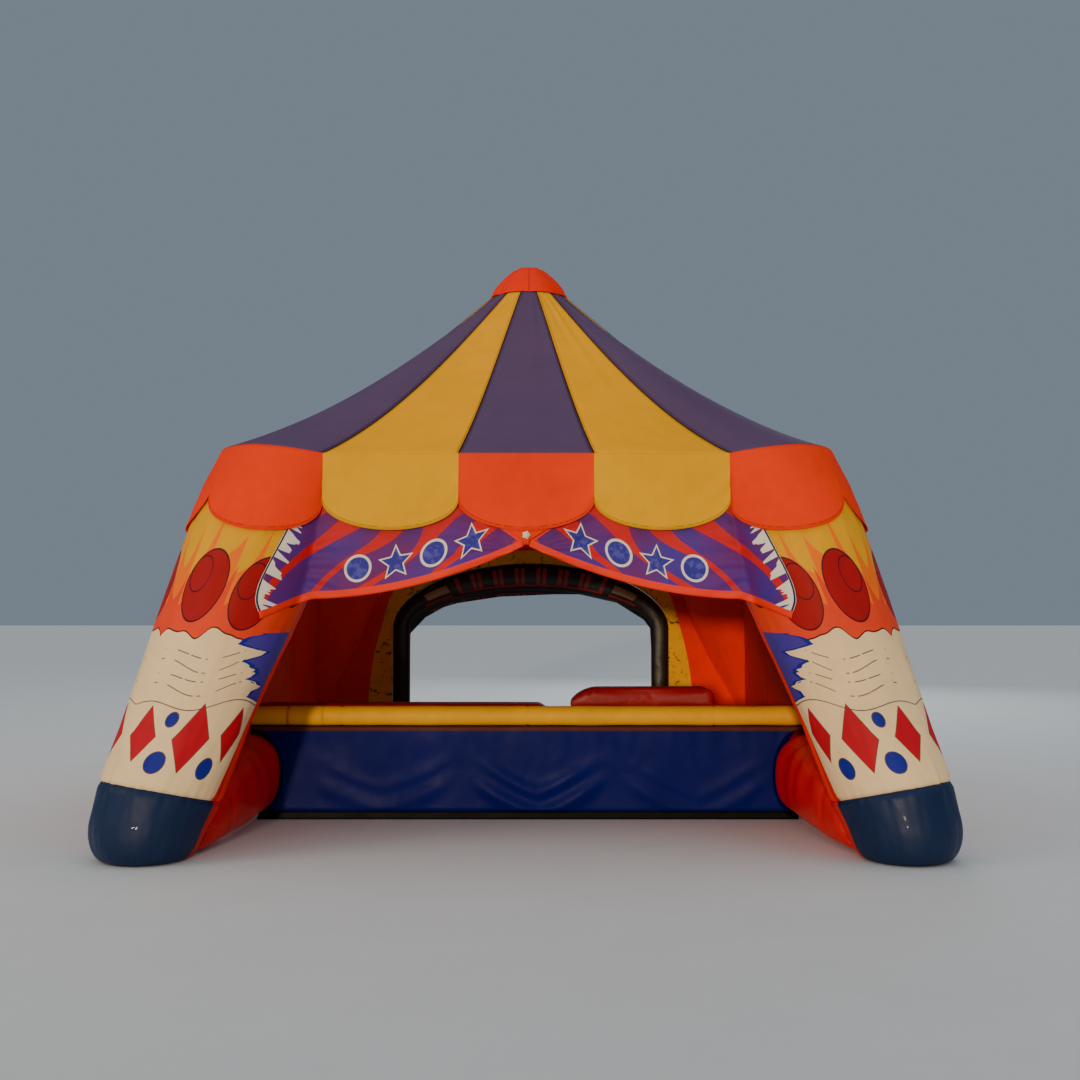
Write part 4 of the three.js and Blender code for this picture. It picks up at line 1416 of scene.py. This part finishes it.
def add_rear_band():
    def place(s, t):
        # t goes once round the band's section: across the rounded front and back along the flat rear.
        if t < 0.7:
            a = t / 0.7
            across, out = a, 0.018 + 0.042 * math.sin(math.pi * a) ** 0.5
        else:
            a = 1 - (t - 0.7) / 0.3
            across, out = a, 0.004
        inner = arch_point(s, 0, 0)
        outer = arch_point(s, BAND_SIDE, BAND_TOP)
        point = inner.lerp(outer, across)
        crumple = 0.004 * noise.noise(Vector((point.x * 4, point.z * 4, 2))) * (out > 0.01)
        point.y = REAR_Y + BAND_DEPTH - out - crumple
        point.z = max(point.z, 0.001)
        return point

    def flat(s, t):
        across = t / 0.7 if t < 0.7 else 1.1
        x = arch_point(s, BAND_SIDE / 2, BAND_TOP / 2).x
        return x, across * 0.30

    bm = sheet_mesh(130, 20, place, flat, close=True)
    add_piece(bm, "arch_band", [rear_band_print()], ["rear_arch"])


def rear_wall_print():
    """Coated polyester, crimson, with a yellow strip beside the band under dark brushwork."""
    name = "coated polyester crimson and yellow"
    material, tree, shader = new_material(name, 0.68, ior=1.46, specular=0.08)
    along, out = flat_place(tree)
    place = add(tree, "TexCoord", out="Object")
    # The strip is 0.14 m wide over the crown and widens to 0.27 m down both sides.
    off_middle = off_line(tree, along, REAR_GIRTH / 2)
    wide = add(tree, "MapRange", {0: off_middle, 1: 0.3, 2: 1.3, 3: 0.14, 4: 0.27})
    strip = inside(tree, out, wide, 0.01)
    rough_brush = {"Vector": place, "Scale": 7.0, "Detail": 6.0, "Roughness": 0.75, "Distortion": 1.5}
    stroke = inside(tree, add(tree, "TexNoise", rough_brush), 0.44, 0.05)
    colour = mix(tree, strip, linear(0xFF2C06), linear(0xFFC010))
    colour = mix(tree, both(tree, strip, stroke), colour, linear(0x3A4010))
    finish(tree, shader, colour, 0.12, cloth_bump(tree))
    return material


def rear_side(z):
    """x where the rear wall ends: at the rear leg or at the side wall or bolster, the nearer one."""
    half = half_chord(REAR_CLOTH_Y, z)
    end = min(bolster_side(REAR_CLOTH_Y, z) + 0.01, wall_x(z) - WALL_CLEAR)
    return min(leg_centre(z) - half, end) if half else end


def add_rear_wall():
    top = REAR_CLOTH_TOP

    def rim(s):
        """The wall's outline, from the left foot round the top to the right foot."""
        if s < SIDE_SHARE:
            z = top * s / SIDE_SHARE
            return Vector((-rear_side(z), 0, max(z, 0.002)))
        if s > 1 - SIDE_SHARE:
            z = top * (1 - s) / SIDE_SHARE
            return Vector((rear_side(z), 0, max(z, 0.002)))
        edge = rear_side(top)
        return Vector((lerp(-edge, edge, (s - SIDE_SHARE) / (1 - 2 * SIDE_SHARE)), 0, top))

    def place(s, t):
        point = arch_point(s, BAND_SIDE - 0.004, BAND_TOP - 0.004).lerp(rim(s), t)
        bulge = 0.016 * noise.noise(Vector((point.x * 1.6, point.z * 1.6, 7))) * math.sin(math.pi * t)
        crease = 0.006 * math.cos(point.x * 8 + 2 * point.z) * math.sin(math.pi * t)
        point.y = REAR_CLOTH_Y - bulge - crease
        return point

    def flat(s, t):
        inner = arch_point(s, BAND_SIDE, BAND_TOP)
        return s * REAR_GIRTH, (rim(s) - inner).length * t

    bm = sheet_mesh(150, 22, place, flat)
    face_away(bm, MIDDLE)
    piece = add_piece(bm, "rear_cloth", [rear_wall_print()], ["rear_wall"], 0.003)


add_rear_band()
add_rear_wall()

# %% [markdown]
# ## The counter
# A long box of foam or air stands across the front under a skirt of glossy vinyl. The vinyl is held
# at the top only, so it sags in wide shallow V folds that catch the light. Its colour is near black
# along its lowest 75 mm and brown along its top 40 mm. A yellow padded roll runs along the front edge,
# with a red pad behind it and a raised cushion on the right half. The skirt is one grid wrapped round
# the box, fine enough in front for its folds, and the pads are blown up like the bolsters.

# %% Counter
COUNTER_Y = -1.12
COUNTER_DEPTH = 0.44
COUNTER_H = 0.755
SKIRT_WIDTH = 4.5
ROLL_R = 0.080


def counter_end(y, z):
    """x where the counter meets the bolster or, above it, the side wall."""
    return min(bolster_side(y, z), wall_x(z)) - WALL_CLEAR


def skirt_sag(x, z):
    """Relief of the sagging vinyl: two nested V folds every 1.29 m, plainest near the middle."""
    down = (COUNTER_H - z) / COUNTER_H
    turn = x / 1.29 + 0.43 + 0.06 * noise.noise(Vector((x * 0.8, z * 0.5, 3)))
    vee = 1 - abs(2 * (turn % 1.0) - 1)
    deep = 0.40 + 0.07 * math.sin(2.4 * math.floor(turn)) * vee
    drop = deep * (1 - (1 - vee) ** 1.25) + 0.04 * noise.noise(Vector((x * 1.5, z * 2.0, 3)))
    plain = 0.3 + 0.7 * math.exp(-(((x - 0.13) / 0.7) ** 2))
    lower = plain * math.exp(-(((down - drop) - 0.53) / 0.095) ** 2) * smooth(vee * 2.2)
    upper = plain * math.exp(-(((down - drop) - 0.29) / 0.085) ** 2) * smooth(vee * 1.6)
    hollow = noise.noise(Vector((x * 1.2, z * 2.0, 8)))
    upright = 0.003 * noise.noise(Vector((x * 9, z * 1.5, 6))) * smooth((0.45 - down) / 0.3)
    return (0.030 * lower + 0.022 * upper + 0.012 * hollow) * smooth(down / 0.3) + upright


def skirt_vinyl():
    """Vinyl, ultramarine, near black along its lowest 75 mm and brown along its top 40 mm."""
    material, tree, shader = new_material("vinyl ultramarine", 0.4, specular=0.08)
    _, height = flat_place(tree)
    # Near black along the lowest 75 mm, and brown along the top 40 mm, just under the roll.
    colour = mix(tree, inside(tree, height, 0.075, 0.01), linear(0x000A62), linear(0x07070C))
    colour = mix(tree, inside(tree, 0.715, height, 0.01), colour, linear(0x5A2C22))
    finish(tree, shader, colour, 0.12, dents(tree, 4.0, depth=0.010, twist=0.5))
    tree.links.new(blot(tree, 4.0, 0.4, 0.54), shader.inputs["Roughness"])
    return material


def add_skirt():
    bottom, top = 0.002, COUNTER_H - 0.002
    front = COUNTER_Y + 0.02
    rear = COUNTER_Y + COUNTER_DEPTH - 0.004

    def place(s, t):
        # t goes round the box: up the front, back over the top, down the rear and forward below.
        side = lerp(-1, 1, s)
        if t < 0.6:
            z = lerp(bottom, top, t / 0.6)
            x = side * counter_end(COUNTER_Y, z)
            hang = smooth((z - 0.065) / 0.02) * (0.010 + max(-0.010, skirt_sag(x, z)))
            return Vector((x, front - hang, z))
        if t < 0.75:
            y = lerp(front, rear, (t - 0.6) / 0.15)
            return Vector((side * counter_end(y, top), y, top))
        if t < 0.9:
            z = lerp(top, bottom, (t - 0.75) / 0.15)
            return Vector((side * counter_end(rear, z), rear, z))
        y = lerp(rear, front, (t - 0.9) / 0.1)
        return Vector((side * counter_end(y, bottom), y, bottom))

    def flat(s, t):
        across = s * SKIRT_WIDTH
        if t < 0.6:
            return across, lerp(0.0, COUNTER_H, t / 0.6)
        if t < 0.75:
            return across, 0.74
        return across, lerp(COUNTER_H, 0.0, min(1.0, (t - 0.75) / 0.15))

    bm = sheet_mesh(300, 100, place, flat, close=True)
    add_piece(bm, "counter_skirt", [skirt_vinyl()], ["counter_base"])


def add_roll():
    y, z = COUNTER_Y + ROLL_R - 0.012, COUNTER_H + ROLL_R + 0.002
    end = counter_end(y, z) - 0.004

    def radius(t):
        x = lerp(-end, end, t)
        seam = -0.005 * math.exp(-(((x / 1.52 + 0.5) % 1.0 - 0.5) / 0.006) ** 2)
        return ROLL_R - 0.001 + seam + 0.003 * noise.noise(Vector((x * 3, 0, 4)))

    bm = tube_along(28, level_line(end, 240, y, z), radius)
    add_piece(bm, "counter_roll", [tube_yellow], ["counter_tube"])


def pad_relief(at):
    """The pad stands fuller on the left half of the counter, where nothing lies on it."""
    return 0.058 * smooth((at.z - 0.83) / 0.03) * smooth((0.20 - at.x) / 0.12)


add_skirt()
add_roll()
add_pad("counter_top", "counter_pad", pad_red, 0.022, 0.012, pad_relief)
add_pad("counter_cushion", "counter_bolster", pad_red, 0.014, 0.012)

# %% [markdown]
# ## The air tubes that carry the roof
# Seen from below, four tubes rise from the legs to a hub under the crown, and four more run along the
# eaves. Each is coated cloth over a bladder, a smooth tube, and those of the eaves are slightly dented.


# %% Frame tubes
HIP_TUBE_R = 0.17
HUB_TOP = 4.504
EAVE_TUBE_R = 0.13
EAVE_TUBE_Z = 2.70
EAVE_TUBE_Y = 2.1813


def hip_line():
    """Points of the front right hip tube, from the hub down under the roof's hip to the leg."""
    points = [Vector((0, 0, HUB_TOP - HIP_TUBE_R - 0.02))]
    for u in (0.2, 0.4, 0.6, 0.74):
        p = roof_point(2, 0.5, u)
        down = roof_point(2, 0.5, u + 0.02) - p
        slope = down.z / math.hypot(down.x, down.y)
        points.append(Vector((p.x, p.y, p.z - (HIP_TUBE_R + 0.014) * math.hypot(1, slope) - 0.012)))
    last = leg_centre(2.7)
    points.append(Vector((last, -last, 2.69)))
    return points


def smooth_line(points, parts):
    """Catmull-Rom through the points."""
    line = []
    for k in range(len(points) - 1):
        a = points[max(k - 1, 0)]
        b, c = points[k], points[k + 1]
        d = points[min(k + 2, len(points) - 1)]
        for i in range(parts):
            t = i / parts
            line.append(0.5 * (2 * b + (c - a) * t + (2 * a - 5 * b + 4 * c - d) * t * t
                               + (3 * b - a - 3 * c + d) * t ** 3))
    line.append(points[-1])
    return line


def add_roof_frame():
    joined = bmesh.new()
    line = smooth_line(hip_line(), 9)
    for corner in CORNERS:
        track = [mirrored(p, corner) for p in line[:-4]]
        join_into(joined, tube_along(28, track, HIP_TUBE_R - 0.002))
    bends = [(0.0, 0.0), (0.30, 0.0), (0.328, 0.025), (0.335, 0.09), (0.32, 0.17), (0.26, 0.23)]
    profile = [(r, HUB_TOP - down) for r, down in (*bends, (0.0, 0.25))]

    def hub(s, t):
        r, z = on_profile(profile, t)
        return Vector((r * math.cos(2 * math.pi * s), r * math.sin(2 * math.pi * s), z))

    join_into(joined, sheet_mesh(48, 24, hub, lambda s, t: (s, t), close=True))
    add_piece(joined, "roof_tubes", [frame_cloth], ["roof_frame"])


def add_eave_tube(side, turn):
    spin = Matrix.Rotation(turn, 3, "Z")
    line = [spin @ point for point in level_line(1.52, 60, -EAVE_TUBE_Y, EAVE_TUBE_Z)]

    def radius(t):
        return EAVE_TUBE_R - 0.002 + 0.002 * noise.noise(Vector((t * 20, turn, 0)))

    bm = tube_along(28, line, radius)
    add_piece(bm, "eave_air_tube_" + side, [frame_cloth], ["eave_tube_" + side])


add_roof_frame()
for side, turn in SIDES.items():
    add_eave_tube(side, turn)
